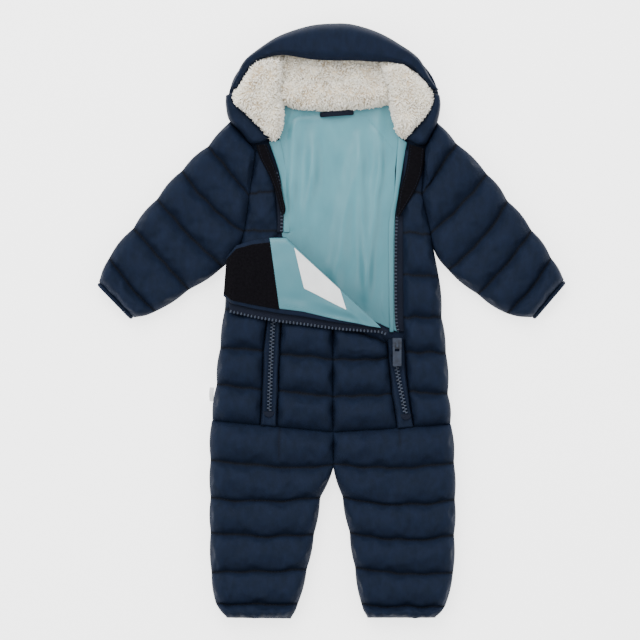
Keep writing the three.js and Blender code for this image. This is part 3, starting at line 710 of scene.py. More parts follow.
def hem_pleat(at, channels, across, depth):
    """How high the gathered hem stands, and how deep in its fold a place is."""
    gather = smooth_step((at - channels + HEM_SHARE) / HEM_SHARE) * edge_rise(across, 0.2)
    fold = math.sin(across * math.tau * HEM_PLEATS + 1.2 * math.sin(9 * across))
    return gather * depth * fold, gather * max(0.0, -fold) ** 3


def seam_fall(x, y):
    """How near a place is to a lengthwise seam that starts at 0, 0 and runs up the suit."""
    return bell(x, SEAM_WIDTH) * min(1, y / SEAM_FADE) if y > 0 else 0.0


def on_line(at):
    return abs(at - round(at)) < NEAR


def quilted(name, node, rows, spec):
    """A padded panel, pinned for the cloth along its lines; its crease attribute holds painted shade for
    its quilt lines, seams and pleat folds.
    """
    channels = len(rows) - 1
    columns = even_places(spec["columns"])
    thin = spec.get("thin", ())
    shade_marks = []

    def place(v, u):
        across = columns[round(u * spec["columns"])]
        at = v * channels
        channel = min(int(at), channels - 1)
        loft = thin[channel] if channel < len(thin) else 1.0
        x, y = quilt_point(rows, at, across)
        z = quilted_height(at - channel, loft, across, spec["round"]) + pucker(at, across)
        # painted shade: full on the inner quilt lines, part strength in the hem's pleat folds and beside
        # the seams
        painted_shade = 1.0 if on_line(at) and 0 < round(at) < channels else 0.0
        if "pleats" in spec and at > channels - HEM_SHARE:
            rise, fold = hem_pleat(at, channels, across, spec["pleats"])
            z += rise
            painted_shade = max(painted_shade, PLEAT_SHADE * fold)
        for seam_x, seam_y in spec.get("seams", ()):
            fall = seam_fall(x - seam_x, y - seam_y)
            z -= SEAM_DEPTH * fall
            painted_shade = max(painted_shade, SEAM_SHADE * fall)
        shade_marks.append(painted_shade)
        return x, y, z

    bm = grid_bmesh(channels * spec["per_channel"], spec["columns"])
    held = [on_line(vert.co.y * channels) or min(vert.co.x, 1 - vert.co.x) < NEAR for vert in bm.verts]
    shape_grid(bm, place)
    # the painted shade goes into the crease attribute, which the shell's material reads
    crease = bm.verts.layers.float.new("crease")
    for vert, painted_shade in zip(bm.verts, shade_marks):
        vert[crease] = painted_shade
    close_pad(bm, FRONT_BASE)
    piece = new_piece(name, bm, NYLON, [node])
    underside = range(len(held), len(piece.data.vertices))
    pinned = [index for index, is_held in enumerate(held) if is_held] + list(underside)
    piece.vertex_groups.new(name=HELD).add(pinned, 1.0, "REPLACE")
    return piece


# The wadding's swell, as pinned cloth under pressure
HELD = "held"
PUFF_FRAMES = 16
PUFF_REACH = 5.0 * MM


def start_cloth(piece):
    cloth = piece.modifiers.new("puff", "CLOTH")
    cloth.point_cache.frame_end = PUFF_FRAMES
    cloth.collision_settings.use_collision = False
    settings = cloth.settings
    settings.vertex_group_mass = HELD
    settings.quality = 5
    settings.mass = 0.15
    settings.tension_stiffness = 12
    settings.compression_stiffness = 6
    settings.shear_stiffness = 4
    settings.bending_stiffness = 0.05
    settings.air_damping = 2
    settings.use_pressure = True
    settings.uniform_pressure_force = 3.0
    settings.shrink_min = -0.025
    settings.effector_weights.gravity = 0.0


def puff_all(panels):
    """Lets the wadding of all the panels swell between their lines, in one run."""
    scene = bpy.context.scene
    scene.frame_set(1)
    rests = [[vert.co.copy() for vert in panel.data.vertices] for panel in panels]
    for panel in panels:
        start_cloth(panel)
    for step in range(1, PUFF_FRAMES + 1):
        scene.frame_set(step)
    depsgraph = bpy.context.evaluated_depsgraph_get()
    for panel, rest in zip(panels, rests):
        places = [vert.co.copy() for vert in panel.evaluated_get(depsgraph).data.vertices]
        panel.modifiers.clear()
        for vert, start, place in zip(panel.data.vertices, rest, places):
            shift = place - start
            if shift.length > PUFF_REACH:
                shift.length = PUFF_REACH
            vert.co = start + shift
            vert.co.z = max(vert.co.z, FRONT_BASE * MM)
    scene.frame_set(1)


def subdivided(piece):
    smooth = piece.modifiers.new("smooth", "SUBSURF")
    smooth.levels = 1
    smooth.render_levels = 1


# The quilted front
LEG_SPEC = {"round": 0.13, "columns": 44, "per_channel": 12, "pleats": 2.6}
SLEEVE_SPEC = {"round": 0.17, "columns": 32, "per_channel": 12}
SIDE_SPEC = {"round": 0.3, "columns": 18, "per_channel": 12, "thin": (NECK_LOFT, NECK_LOFT, 0.7)}
CENTRE_SPEC = {"round": 0.22, "columns": 20, "per_channel": 12, "thin": (0.4,)}

FRONT = (
    ("leg_front_r", "front_leg_r", LEG_R, {**LEG_SPEC, "seams": [(-58, -164)]}),
    ("leg_front_l", "front_leg_l", LEG_L, {**LEG_SPEC, "seams": [(77, -150)]}),
    ("sleeve_front_r", "front_sleeve_r", SLEEVE_R, SLEEVE_SPEC),
    ("sleeve_front_l", "front_sleeve_l", SLEEVE_L, SLEEVE_SPEC),
    ("side_front_r", "front_side_r", SIDE_R, SIDE_SPEC),
    ("side_front_l", "front_side_l", SIDE_L, SIDE_SPEC),
    ("centre_front_r", "front_centre_r", CENTRE_R, CENTRE_SPEC),
    ("centre_front_l", "front_centre_l", CENTRE_L, CENTRE_SPEC),
)
front = [quilted(*panel) for panel in FRONT]
puff_all(front)
for panel in front:
    subdivided(panel)


# Soft surfaces: a place function gives x, y and z at the shares v down and u across a piece
def eased(rows, at):
    """The row at a place between rows, on a smooth curve through them all."""
    last = len(rows) - 1
    index = min(int(at), last - 1)
    share = at - index
    near = [vars(rows[min(last, max(0, index + step))]) for step in (-1, 0, 1, 2)]
    values = {}
    for key in near[0]:
        before, start, end, after = (row[key] for row in near)
        slope = (end - before) / 2, (after - start) / 2
        cubic = 2 * (start - end) + slope[0] + slope[1]
        square = 3 * (end - start) - 2 * slope[0] - slope[1]
        values[key] = ((cubic * share + square) * share + slope[0]) * share + start
    return SimpleNamespace(**values)


def bowed(row, u):
    x, y = mix(row.ax, row.bx, u), mix(row.ay, row.by, u)
    return x, y - getattr(row, "sag", 0) * 4 * u * (1 - u)


def mound_place(rows, rounding, edge=EDGE_WALL, ends=0.06, lump=0.0, size=9.0):
    def place(v, u):
        row = eased(rows, v * (len(rows) - 1))
        x, y = bowed(row, u)
        rise = mix(edge, row.rise, edge_rise(u, rounding) * edge_rise(v, ends) ** 0.7)
        return x, y, FRONT_BASE + max(1.0, rise + lump * lumps(x, y, size))

    return place


def strip_place(rows, top, crown=0.0, ripple=0.0, size=12.0):
    def place(v, u):
        row = eased(rows, v * (len(rows) - 1))
        x, y = bowed(row, u)
        return x, y, top + crown * (edge_rise(u, 0.5) - 1) + ripple * lumps(x, y, size, 3.0)

    return place


def walled(piece, wall):
    thick = piece.modifiers.new("wall", "SOLIDIFY")
    thick.thickness = wall * MM
    thick.offset = -1


def soft_piece(name, nodes, place, down, across, material, base=None, wall=None):
    """A closed pad down to a base, or a sheet that faces up and is given its wall."""
    columns = even_places(across)
    bm = grid_bmesh(down, across)
    shape_grid(bm, lambda v, u: place(v, columns[round(u * across)]))
    if base is not None:
        close_pad(bm, base)
    bm.normal_update()
    if base is None and sum(face.normal.z for face in bm.faces) < 0:
        bmesh.ops.reverse_faces(bm, faces=bm.faces)
    piece = new_piece(name, bm, material, nodes)
    if wall:
        walled(piece, wall)
    subdivided(piece)
    return piece


RIBBON_WIDTH = 0.01  # narrower strips are tape, not sheets
STRIP_STEPS = 10  # rows of faces between two rows of its plan


def cut_of(rows):
    """The flat width, length and area that a strip is cut to, in metres."""
    widths = [math.hypot(row.bx - row.ax, row.by - row.ay) for row in rows]
    steps = [(middle(b) - middle(a)).length for a, b in zip(rows, rows[1:])]
    area = sum(step * (wide + next_wide) / 2 for step, wide, next_wide in zip(steps, widths, widths[1:]))
    size = (max(widths) * MM, sum(steps) * MM)
    return size, min(area * MM * MM, size[0] * size[1])


def cloth_strip(name, node, rows, place, material, wall, columns=6):
    down = STRIP_STEPS * (len(rows) - 1)
    piece = soft_piece(name, [node], place, down, columns, material, wall=wall)
    size, area = cut_of(rows)
    size[0] >= RIBBON_WIDTH
    return piece


# Many small things as one mesh
def template(bm):
    """A small shape's points in metres and its triangles."""
    bmesh.ops.triangulate(bm, faces=bm.faces)
    bm.verts.index_update()
    points = np.array([vert.co[:] for vert in bm.verts]) * MM
    faces = np.array([[vert.index for vert in face.verts] for face in bm.faces])
    bm.free()
    return points, faces


def scattered(name, shape, places, material, nodes=(), tips=None, smooth=True):
    """One mesh from a small shape set down at many places, each a 4 by 4 matrix."""
    points, faces = shape
    turns = np.array([[list(line) for line in place] for place in places])
    spots = np.einsum("nij,vj->nvi", turns[:, :3, :3], points) + turns[:, None, :3, 3]
    corners = (faces[None] + (np.arange(len(turns)) * len(points))[:, None, None]).reshape(-1)
    mesh = bpy.data.meshes.new(name)
    mesh.vertices.add(len(turns) * len(points))
    mesh.vertices.foreach_set("co", spots.reshape(-1))
    mesh.loops.add(len(corners))
    mesh.loops.foreach_set("vertex_index", corners.astype(np.int32))
    mesh.polygons.add(len(corners) // 3)
    mesh.polygons.foreach_set("loop_start", np.arange(0, len(corners), 3, dtype=np.int32))
    mesh.update(calc_edges=True)
    if tips is not None:
        layer = mesh.attributes.new("tip", "FLOAT", "POINT")
        layer.data.foreach_set("value", np.tile(tips, len(turns)))
    return add_piece(name, mesh, material, nodes, smooth)


DROP_HEIGHT = 150.0  # above everything
STEEP = 0.2  # cloth whose normal rises less than this takes no stitch
STITCH_LIFT = 0.1
STITCH_ASKEW = 0.04
STITCH_SIZE = (2.3, 0.62, 0.5)
EDGE_STEPS = 8


def tree_of(piece):
    return BVHTree.FromObject(piece, bpy.context.evaluated_depsgraph_get())


def drop(tree, x, y):
    """The surface under a place, and its normal."""
    return tree.ray_cast(solid_place(x, y, DROP_HEIGHT), Vector((0, 0, -1)))[:2]


def paced(points, pitch):
    """Even places along a run of points, each with its direction."""
    points = [Vector(point[:2]) for point in points]
    lengths = np.cumsum([0.0] + [(b - a).length for a, b in zip(points, points[1:])])
    count = max(1, int(lengths[-1] / pitch))
    for index in range(count):
        want = (index + 0.5) * lengths[-1] / count
        leg = min(int(np.searchsorted(lengths, want)) - 1, len(points) - 2)
        share = (want - lengths[leg]) / (lengths[leg + 1] - lengths[leg])
        yield points[leg].lerp(points[leg + 1], share), (points[leg + 1] - points[leg]).normalized()


def standing(place, along, up):
    """A matrix that sets a shape's X along a direction and its Z up from a surface."""
    side = up.cross(along).normalized()
    ahead = side.cross(up).normalized()
    return Matrix.Translation(place) @ Matrix((ahead, side, up)).transposed().to_4x4()


def laid(points, pitch, tree):
    """Places for stitches along a run, on the cloth below it and each a little askew."""
    places = []
    for point, along in paced(points, pitch):
        spot, up = drop(tree, point.x, point.y)
        if spot is not None and up.z > STEEP:
            askew = Vector((along.x, along.y, random.uniform(-STITCH_ASKEW, STITCH_ASKEW)))
            places.append(standing(spot + up * STITCH_LIFT * MM, askew, up))
    return places


def stitch_shape():
    bm = bmesh.new()
    bmesh.ops.create_uvsphere(bm, u_segments=6, v_segments=4, radius=0.5)
    bmesh.ops.scale(bm, vec=STITCH_SIZE, verts=bm.verts)
    return template(bm)


def edge_points(rows, end, inset):
    """A run beside one edge of a strip, inset into it by millimetres."""
    out = []
    for index in range(EDGE_STEPS * (len(rows) - 1) + 1):
        row = eased(rows, index / EDGE_STEPS)
        share = inset / math.hypot(row.bx - row.ax, row.by - row.ay)
        out.append(bowed(row, share if end == "a" else 1 - share))
    return out


# The back, resting flat
BACK_STEPS = 6
BACK_COLUMNS = 16
BACK_EDGE = 2.0
BACK_SEAM = 4.0
BACK_SWELL = 6.0


def back_panel(name, node, rows):
    channels = len(rows) - 1

    def place(v, u):
        at = v * channels
        x, y = grown_point(rows, at, u)
        depth = BACK_SEAM + BACK_SWELL * math.sin(math.pi * (at - math.floor(at))) ** 0.6
        return x, y, max(0.0, BACK_WALL - BACK_EDGE - depth * edge_rise(u, 0.12) ** 0.8)

    down = channels * BACK_STEPS
    pad = soft_piece(name, [node], place, down, BACK_COLUMNS, NYLON, base=BACK_WALL)


for name, node, rows in (
    ("body_back", "back_body", BACK_BODY),
    ("leg_back_r", "back_leg_r", LEG_R),
    ("leg_back_l", "back_leg_l", LEG_L),
    ("sleeve_back_r", "back_sleeve_r", SLEEVE_R),
    ("sleeve_back_l", "back_sleeve_l", SLEEVE_L),
    ("hood_shell_back", "hood_back", HOOD_BACK),
):
    back_panel(name, node, rows)

random.seed(41)
noise.seed_set(41)
STITCH = stitch_shape()

# Lining, with its long soft folds
NECK_SEAM = [(-42, 226), (-36, 229), (0, 230.5), (38, 229.5)]
RAGLAN_SEAMS = [[(38, 229.5), (52, 213), (71, 190)], [(-42, 226), (-47, 214), (-53, 192)]]
SEAM_PULL = 0.9
SEAM_REACH = 2.0
RIDGE_RISE = 0.5  # the cloth stands up a little beside its seams
RIDGE_OFF = 4.0


def seam_dip(x, y):
    """How far the lining is drawn down beside its sewn seams."""
    point = Vector((x, y))
    nearest = math.inf
    for run in (NECK_SEAM, *RAGLAN_SEAMS):
        for start, end in zip(run, run[1:]):
            share = intersect_point_line(point, Vector(start), Vector(end))[1]
            on_seam = Vector(start).lerp(Vector(end), clipped(share))
            nearest = min(nearest, (point - on_seam).length)
    return SEAM_PULL * bell(nearest, SEAM_REACH) - RIDGE_RISE * bell(nearest - RIDGE_OFF, SEAM_REACH)


FOLDS = table(
    "x lean width height top foot",
    (-46, 0.05, 6, 5.0, 226, 100), (-30, 0.12, 7, 4.2, 212, 96), (-14, -0.1, 8, 3.0, 222, 120),
    (14, 0.16, 8, 5.2, 196, 24), (36, -0.05, 6, 5.0, 212, 10), (47, 0.1, 5, 4.4, 186, 20),
    (60, -0.06, 5, 4.5, 236, 150), (26, -0.3, 6, 3.0, 236, 190),
)
FOLD_MIDDLE = 100  # a fold crosses its x at this y, and leans from there
FOLD_FADE = 40  # over which a fold rises at its foot and dies away at its top
LINING_RIGHT, LINING_LEFT = -56, 64  # it lies flat from here out, under the facings
RIPPLE = 1.7
RIPPLE_WIDTH, RIPPLE_LENGTH = 12, 34
LINING_STEPS = 90
LINING_COLUMNS = 60


def lining_height(x, y):
    height = 0.0
    for fold in FOLDS:
        off = x - fold.x - fold.lean * (y - FOLD_MIDDLE)
        run = clipped((fold.top - y) / FOLD_FADE) * clipped((y - fold.foot) / FOLD_FADE)
        height += fold.height * run * bell(off, fold.width)
    inside = clipped((x - LINING_RIGHT) / 8) * clipped((LINING_LEFT - x) / 6)
    ripple = noise.noise(Vector((x / RIPPLE_WIDTH, y / RIPPLE_LENGTH, 0.0))) * RIPPLE
    return FRONT_BASE + CLOTH + max(0.0, height + ripple - seam_dip(x, y)) * inside


def lining():
    def place(v, u):
        x, y = plan_point(LINING, v * (len(LINING) - 1), u)
        return x, y, lining_height(x, y)

    bm = grid_bmesh(LINING_STEPS, LINING_COLUMNS)
    shape_grid(bm, place)
    bmesh.ops.recalc_face_normals(bm, faces=bm.faces)
    piece = new_piece("back_lining", bm, SATIN, ["lining_back"])
    walled(piece, 0.8)
    subdivided(piece)
    return piece


lining_piece = lining()
for side in SIDES:
    facing_place = strip_place(FACINGS[side], ON_LINING + CLOTH, 0.8, 0.5)
    cloth_strip(
        f"facing_{side}_strip", f"facing_{side}", FACINGS[side], facing_place,
        SATIN, 1.0,
    )
    tape_place = strip_place(ZIP_EDGES[side], ON_LINING + 1.1)
    cloth_strip(
        f"zip_tape_{side}", f"zip_edge_{side}", ZIP_EDGES[side], tape_place,
        TAPE, 0.8,
    )

# Neck guards of black fleece, bound at their edges
guards = {}
for side in SIDES:
    guard_place = strip_place(GUARDS[side], GUARD_BASE + FLEECE, 1.4, 0.9, 14.0)
    guards[side] = cloth_strip(
        f"neck_guard_{side}", f"guard_{side}", GUARDS[side], guard_place,
        BLACK, 1.8, 10,
    )

# Hood
BRIM_STEPS = 12
BRIM_COLUMNS = 18
BRIM_ROUND = 0.3
BRIM_HEM = 0.72  # of its height, where it turns under at the opening
BRIM_CREASES = 46  # along its length
BRIM_SEAM = 0.86  # of the way in, where its facing is sewn down


def brim_place(v, u):
    row = eased(BRIM, v * (len(BRIM) - 1))
    x, y = bowed(row, u)
    hem = mix(EDGE_WALL, BRIM_HEM * row.rise, u)
    rise = mix(hem, row.rise, edge_rise(u, BRIM_ROUND))
    along = v * BRIM_CREASES
    crease = 0.9 * noise.noise(Vector((along, u * 1.6, 4.0)))
    crease += 0.5 * noise.noise(Vector((along * 2.3, u * 3, 9.0)))
    return x, y, FRONT_BASE + rise + crease * fading(u, 4) - 0.9 * bell(u - BRIM_SEAM, 0.035)


brim = soft_piece(
    "hood_rim", ["hood_brim"], brim_place, BRIM_STEPS * len(BRIM), BRIM_COLUMNS, NYLON, wall=5.0
)

for side in SIDES:
    tab = soft_piece(
        f"collar_{side}", [f"collar_tab_{side}"], mound_place(COLLARS[side], 0.3, lump=0.8),
        40, 12, NYLON, base=FRONT_BASE,
    )

# Pile
TUFT_LENGTH = 5.0
TUFT_ROOT = 0.95
TUFT_END = 0.28
TUFT_BOW = 0.12  # a curl's share of its length that its curve takes up
TUFT_SINK = 0.8
TUFT_SIZES = (0.8, 1.35)
PILE_PITCH = 1.5
PILE_SINK = 1.5
CLUMPS = 95  # noise cells to a metre
WISPS = 300


def tuft_shape():
    """A short curl of pile, thick at its root, and how near its tip each point is."""
    bm = bmesh.new()
    bmesh.ops.create_cone(
        bm, cap_ends=True, segments=4, radius1=TUFT_ROOT, radius2=TUFT_END, depth=TUFT_LENGTH
    )
    long_edges = [edge for edge in bm.edges if abs(edge.verts[0].co.z - edge.verts[1].co.z) > 1]
    bmesh.ops.subdivide_edges(bm, edges=long_edges, cuts=2, use_grid_fill=True)
    for vert in bm.verts:
        share = vert.co.z / TUFT_LENGTH + 0.5
        vert.co.x += 1.5 * math.sin(2.4 * share)
        vert.co.y += 0.6 * math.sin(4.0 * share)
        vert.co.z = TUFT_LENGTH * (share - TUFT_BOW * share * share)
    bm.normal_update()
    shape = template(bm)
    return shape, shape[0][:, 2] / (TUFT_LENGTH * (1 - TUFT_BOW) * MM)


TUFT, TUFT_TIPS = tuft_shape()


def pile_over(name, mound):
    """Curls of pile over a mound, leaning together in clumps."""
    mesh = mound.data
    areas = np.array([face.area for face in mesh.polygons])
    up = np.array([face.normal.z > -0.2 for face in mesh.polygons])
    weights = np.where(up, areas, 0.0)
    count = int(weights.sum() / (PILE_PITCH * MM) ** 2)
    chosen = np.random.default_rng(len(name)).choice(len(areas), size=count, p=weights / weights.sum())
    places = []
    for index in chosen:
        face = mesh.polygons[index]
        corners = [mesh.vertices[i].co for i in face.vertices]
        share = random.random()
        left, right = corners[0].lerp(corners[1], share), corners[-1].lerp(corners[2], share)
        spot = left.lerp(right, random.random())
        lean = noise.noise_vector(spot * CLUMPS) * 1.5 + noise.noise_vector(spot * WISPS) * 0.7
        way = (face.normal + lean * 0.75 + Vector((0, 0, 0.15))).normalized()
        turn = way.to_track_quat("Z", "Y").to_matrix().to_4x4()
        spin = Matrix.Rotation(random.uniform(0, math.tau), 4, "Z")
        size = Matrix.Scale(random.uniform(*TUFT_SIZES), 4)
        places.append(Matrix.Translation(spot - way * TUFT_SINK * MM) @ turn @ spin @ size)
    scattered(name, TUFT, places, SHERPA, tips=TUFT_TIPS)


def pile_piece(name, node, rows, rounding, edge, down, across, spread, lift=0.0):
    """A lumpy roll and its curls; spread lets its plan out to meet the rolls beside it."""
    place = mound_place(rows, rounding, edge=edge, ends=0.08, lump=4.0, size=13.0)
    centre = sum((middle(row) for row in rows), Vector((0, 0))) / len(rows)

    def let_out(v, u):
        x, y, z = place(v, u)
        return mix(centre.x, x, spread[0]), mix(centre.y, y, spread[1]), z - PILE_SINK + lift

    mound = soft_piece(name, [node], let_out, down, across, SHERPA, base=FRONT_BASE)
    pile_over(f"{name}_curls", mound)


for side in SIDES:
    pile_piece(f"pile_roll_{side}", f"hood_pile_{side}", ROLLS[side], 0.3, 6, 32, 18, (1.04, 1.02))
pile_piece("pile_behind", "hood_pile_back", PILE_BACK, 0.1, 5, 14, 40, (1.14, 2.3), 5.0)
pile_piece("pile_neck_roll", "hood_pile_neck", PILE_NECK, 0.1, 5, 18, 44, (1.1, 1.02), 2.0)

# Flap: its shell, turned over so that its fleece and lining show
FLAP_DROOP_X = -107.0
FLAP_DROOP = 7.0
FLAP_PLACES = [0, 0.06, 0.3, 0.6, 0.94, 1]
FLAP_RISES = [0.55, 0.95, 1, 1, 0.95, 0.7]
FLAP_END = len(FLAP) - 1
FLAP_CREASES = table(
    "x y turn width length height",
    (2, 14, -0.32, 4.0, 30, 1.5), (14, 4, -0.2, 3.5, 26, -1.3), (24, 6, -0.75, 3.0, 22, 1.4),
    (-24, 40, -0.85, 6.0, 44, 1.1), (-42, 24, -0.15, 5.0, 26, -0.9), (-90, 50, 1.2, 7.0, 30, 1.0),
)


def creased(x, y):
    height = 0.0
    for crease in FLAP_CREASES:
        along = Vector((math.cos(crease.turn), math.sin(crease.turn)))
        off = Vector((x - crease.x, y - crease.y))
        run = off.dot(along) / crease.length
        side = off.cross(along) / crease.width
        height += crease.height * math.exp(-(2 * run * run + side * side))
    return height + 0.7 * lumps(x, y, 16, 2.0)


def flap_point(at, u, lift=0.0):
    row, onward, share = row_share(FLAP, at)
    x, y = plan_point(FLAP, at, u)
    droop = max(0.0, (FLAP_DROOP_X - x) / (FLAP_DROOP_X - FLAP[0].bx)) ** 1.5 * FLAP_DROOP
    profile = float(np.interp(u, FLAP_PLACES, FLAP_RISES))
    rise = mix(row.rise, onward.rise, share) * profile
    return x, y, FLAP_BASE - droop + rise + creased(x, y) * profile + lift


FLAP_LAYERS = table(
    "name node start end first last lift down across material slot wall",
    ("flap_outer", "flap_shell", 0, FLAP_END, 0, 1, 0, 120, 30, NYLON, "shell", 5.0),
    ("flap_fleece_facing", "flap_fleece", 0.04, 3.3, 0.07, 0.94, 1.9, 36, 26, BLACK, "fleece", 1.7),
    ("flap_inner", "flap_lining", 3.4, FLAP_END, 0.01, 0.93, 1.5, 90, 26, SATIN, "lining", 1.0),
    ("flap_label", "flap_patch", 5.35, 7.7, 0.05, 0.6, 2.1, 26, 14, LABEL, "patch", 0.5),
)


def flap_layer(layer):
    """One cloth of the flap, over the part of its plan from start to end and first to last."""

    def place(v, u):
        return flap_point(mix(layer.start, layer.end, v), mix(layer.first, layer.last, u), layer.lift)

    return soft_piece(
        layer.name, [layer.node], place, layer.down, layer.across, layer.material,
        wall=layer.wall,
    )


flap, fleece, satin, patch = [flap_layer(layer) for layer in FLAP_LAYERS]

FLAP_ZIP_TOP = FLAP_BASE + 1.2
cloth_strip(
    "flap_zip_tape", "flap_zip", FLAP_ZIP, strip_place(FLAP_ZIP, FLAP_ZIP_TOP, 0.0, 0.5),
    TAPE, 0.8,
)

# Plackets: a welt each side of the closed zip
WELT_RISE = 1.3
WELT_OFF = 6.4
CHAIN_DIP = 0.9


def chain_offset(side, x, y):
    """How far a place lies from a closed zip's middle line."""
    rows = CHAINS[side]
    point = Vector((x, y))
    best = math.inf
    for start, end in zip(rows, rows[1:]):
        on_chain, share = intersect_point_line(point, Vector((start.x, start.y)), Vector((end.x, end.y)))
        if -0.6 <= share <= 1.6:
            best = min(best, (point - on_chain.to_2d()).length)
    return best


def placket_place(side):
    rows = PLACKETS[side]

    def place(v, u):
        x, y = bowed(eased(rows, v * (len(rows) - 1)), u)
        off = chain_offset(side, x, y)
        welt = WELT_RISE * bell(off - WELT_OFF, 2.2) - CHAIN_DIP * bell(off, 3.6)
        round_off = edge_rise(u, 0.14)
        body = mix(EDGE_WALL, PLACKET_TOP - FRONT_BASE + 0.2, round_off * edge_rise(v, 0.03))
        return x, y, FRONT_BASE + body + welt * round_off + 0.35 * lumps(x, y, 6, 5.0)

    return place


plackets = {}
for side in SIDES:
    plackets[side] = soft_piece(
        f"zip_welts_{side}", [f"placket_{side}"], placket_place(side),
        16 * (len(PLACKETS[side]) - 1), 22, NYLON, base=FRONT_BASE,
    )

# Zip teeth, open and closed
TOOTH_PITCH = 3.9
TOOTH_SIZE = (1.9, 3.1, 1.7)
TOOTH_TAPER = 0.72
CHAIN_HALF = 1.15  # from a closed zip's middle to either row of teeth


def tooth_shape():
    bm = bmesh.new()
    bmesh.ops.create_cube(bm, size=1.0)
    bmesh.ops.scale(bm, vec=TOOTH_SIZE, verts=bm.verts)
    for vert in bm.verts:
        if vert.co.y > 0:
            vert.co.x *= TOOTH_TAPER
    bmesh.ops.bevel(bm, geom=bm.edges, offset=0.4, affect="EDGES", segments=2, profile=0.5, material=-1)
    bm.normal_update()
    return template(bm)


TOOTH = tooth_shape()


def tooth_row(points, height, facing=1, offset=0.0, lead=0.0):
    """Places for teeth along a tape; facing is -1 for teeth that point to its other side."""
    places = []
    for point, along in paced(points, TOOTH_PITCH):
        spot = point + Vector((-along.y, along.x)) * facing * offset + along * lead
        ahead = Vector((along.x, along.y, 0)) * facing
        places.append(standing(solid_place(spot.x, spot.y, height), ahead, Vector((0, 0, 1))))
    return places


def teeth(name, places, nodes=()):
    scattered(name, TOOTH, places, TEETH, nodes=nodes, smooth=False)


open_teeth = tooth_row(edge_points(ZIP_EDGES["l"], "a", 1.4), ON_LINING + 1.7, -1)
open_teeth += tooth_row(edge_points(ZIP_EDGES["r"], "b", 1.4), ON_LINING + 1.7)
teeth("open_zip_teeth", open_teeth)
teeth("flap_zip_teeth", tooth_row(edge_points(FLAP_ZIP, "b", 1.2), FLAP_ZIP_TOP + 0.6))
for side in SIDES:
    line = [(point.x, point.y) for point in CHAINS[side]]
    closed_teeth = tooth_row(line, PLACKET_TOP + 1.1, -1, CHAIN_HALF)
    closed_teeth += tooth_row(line, PLACKET_TOP + 1.1, 1, CHAIN_HALF, TOOTH_PITCH / 2)
    teeth(f"closed_teeth_{side}", closed_teeth, [f"zip_chain_{side}"])

# Sliders, pull tab and zip ends keep their solids, with their edges eased
EASED = {
    "slider_l": (LACQUER, 0.5),
    "slider_r": (LACQUER, 0.5),
    "pull_tab_l": (LACQUER, 0.35),
    "zip_end_r": (TAPE, 0.3),
    "zip_end_l": (TAPE, 0.3),
}
for node, (material, width) in EASED.items():
    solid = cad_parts[node]
    solid.data.materials.clear()
    solid.data.materials.append(material)
    ease = solid.modifiers.new("eased_edges", "BEVEL")
    ease.width = width * MM
    ease.segments = 2
    ease.limit_method = "ANGLE"

# Hanging loop and side tab
LOOP = SimpleNamespace(length=39.0, width=6.5, x=6.5, y=231.4, turn=0.07, arch=6.0)
SIDE_TAB = SimpleNamespace(outer=-136.2, inner=-131.0, top=-75.5, foot=-91.5, height=7.2)


def loop_place(v, u):
    across = (u - 0.5) * LOOP.width * (0.6 + 0.4 * edge_rise(v, 0.08))
    spot = Matrix.Rotation(LOOP.turn, 2) @ Vector(((v - 0.5) * LOOP.length, across))
    rise = LOOP.arch * math.sin(math.pi * v) ** 0.5 - 0.6 * (1 - edge_rise(u, 0.4))
    return spot.x + LOOP.x, spot.y + LOOP.y, ON_LINING + 2.2 + rise


def tab_place(v, u):
    x = mix(SIDE_TAB.outer, SIDE_TAB.inner, u) - 0.8 * math.sin(math.pi * v)
    return x, mix(SIDE_TAB.top, SIDE_TAB.foot, v), SIDE_TAB.height + u + 0.4 * math.sin(4 * v)


soft_piece("hang_loop", ["hanging_loop"], loop_place, 30, 6, TAPE, wall=1.6)
soft_piece("side_seam_tab", ["side_tab"], tab_place, 12, 4, LABEL, wall=0.7)

# Cuff bindings: gathered loops of elastic
BINDING_WIDTH = 5.0
BINDING_HEIGHT = FRONT_BASE + LINE_WALL
BINDING_WALL = 4.6
BINDING_STEPS = 180
BINDING_SIDES = 10
BINDING_GATHER = 6  # steps to each of its even gathers


def round_cuff(run, straight, radius):
    """A place on the flat loop round a cuff's end, and the way out of the loop there."""
    bend = math.pi * radius
    if run < straight:
        return Vector((run, radius)), Vector((0, 1))
    if run < straight + bend:
        turn = (run - straight) / radius
        up = Vector((math.sin(turn), math.cos(turn)))
        return Vector((straight, 0)) + up * radius, up
    if run < 2 * straight + bend:
        return Vector((2 * straight + bend - run, -radius)), Vector((0, -1))
    turn = (run - 2 * straight - bend) / radius
    up = Vector((-math.sin(turn), -math.cos(turn)))
    return up * radius, up


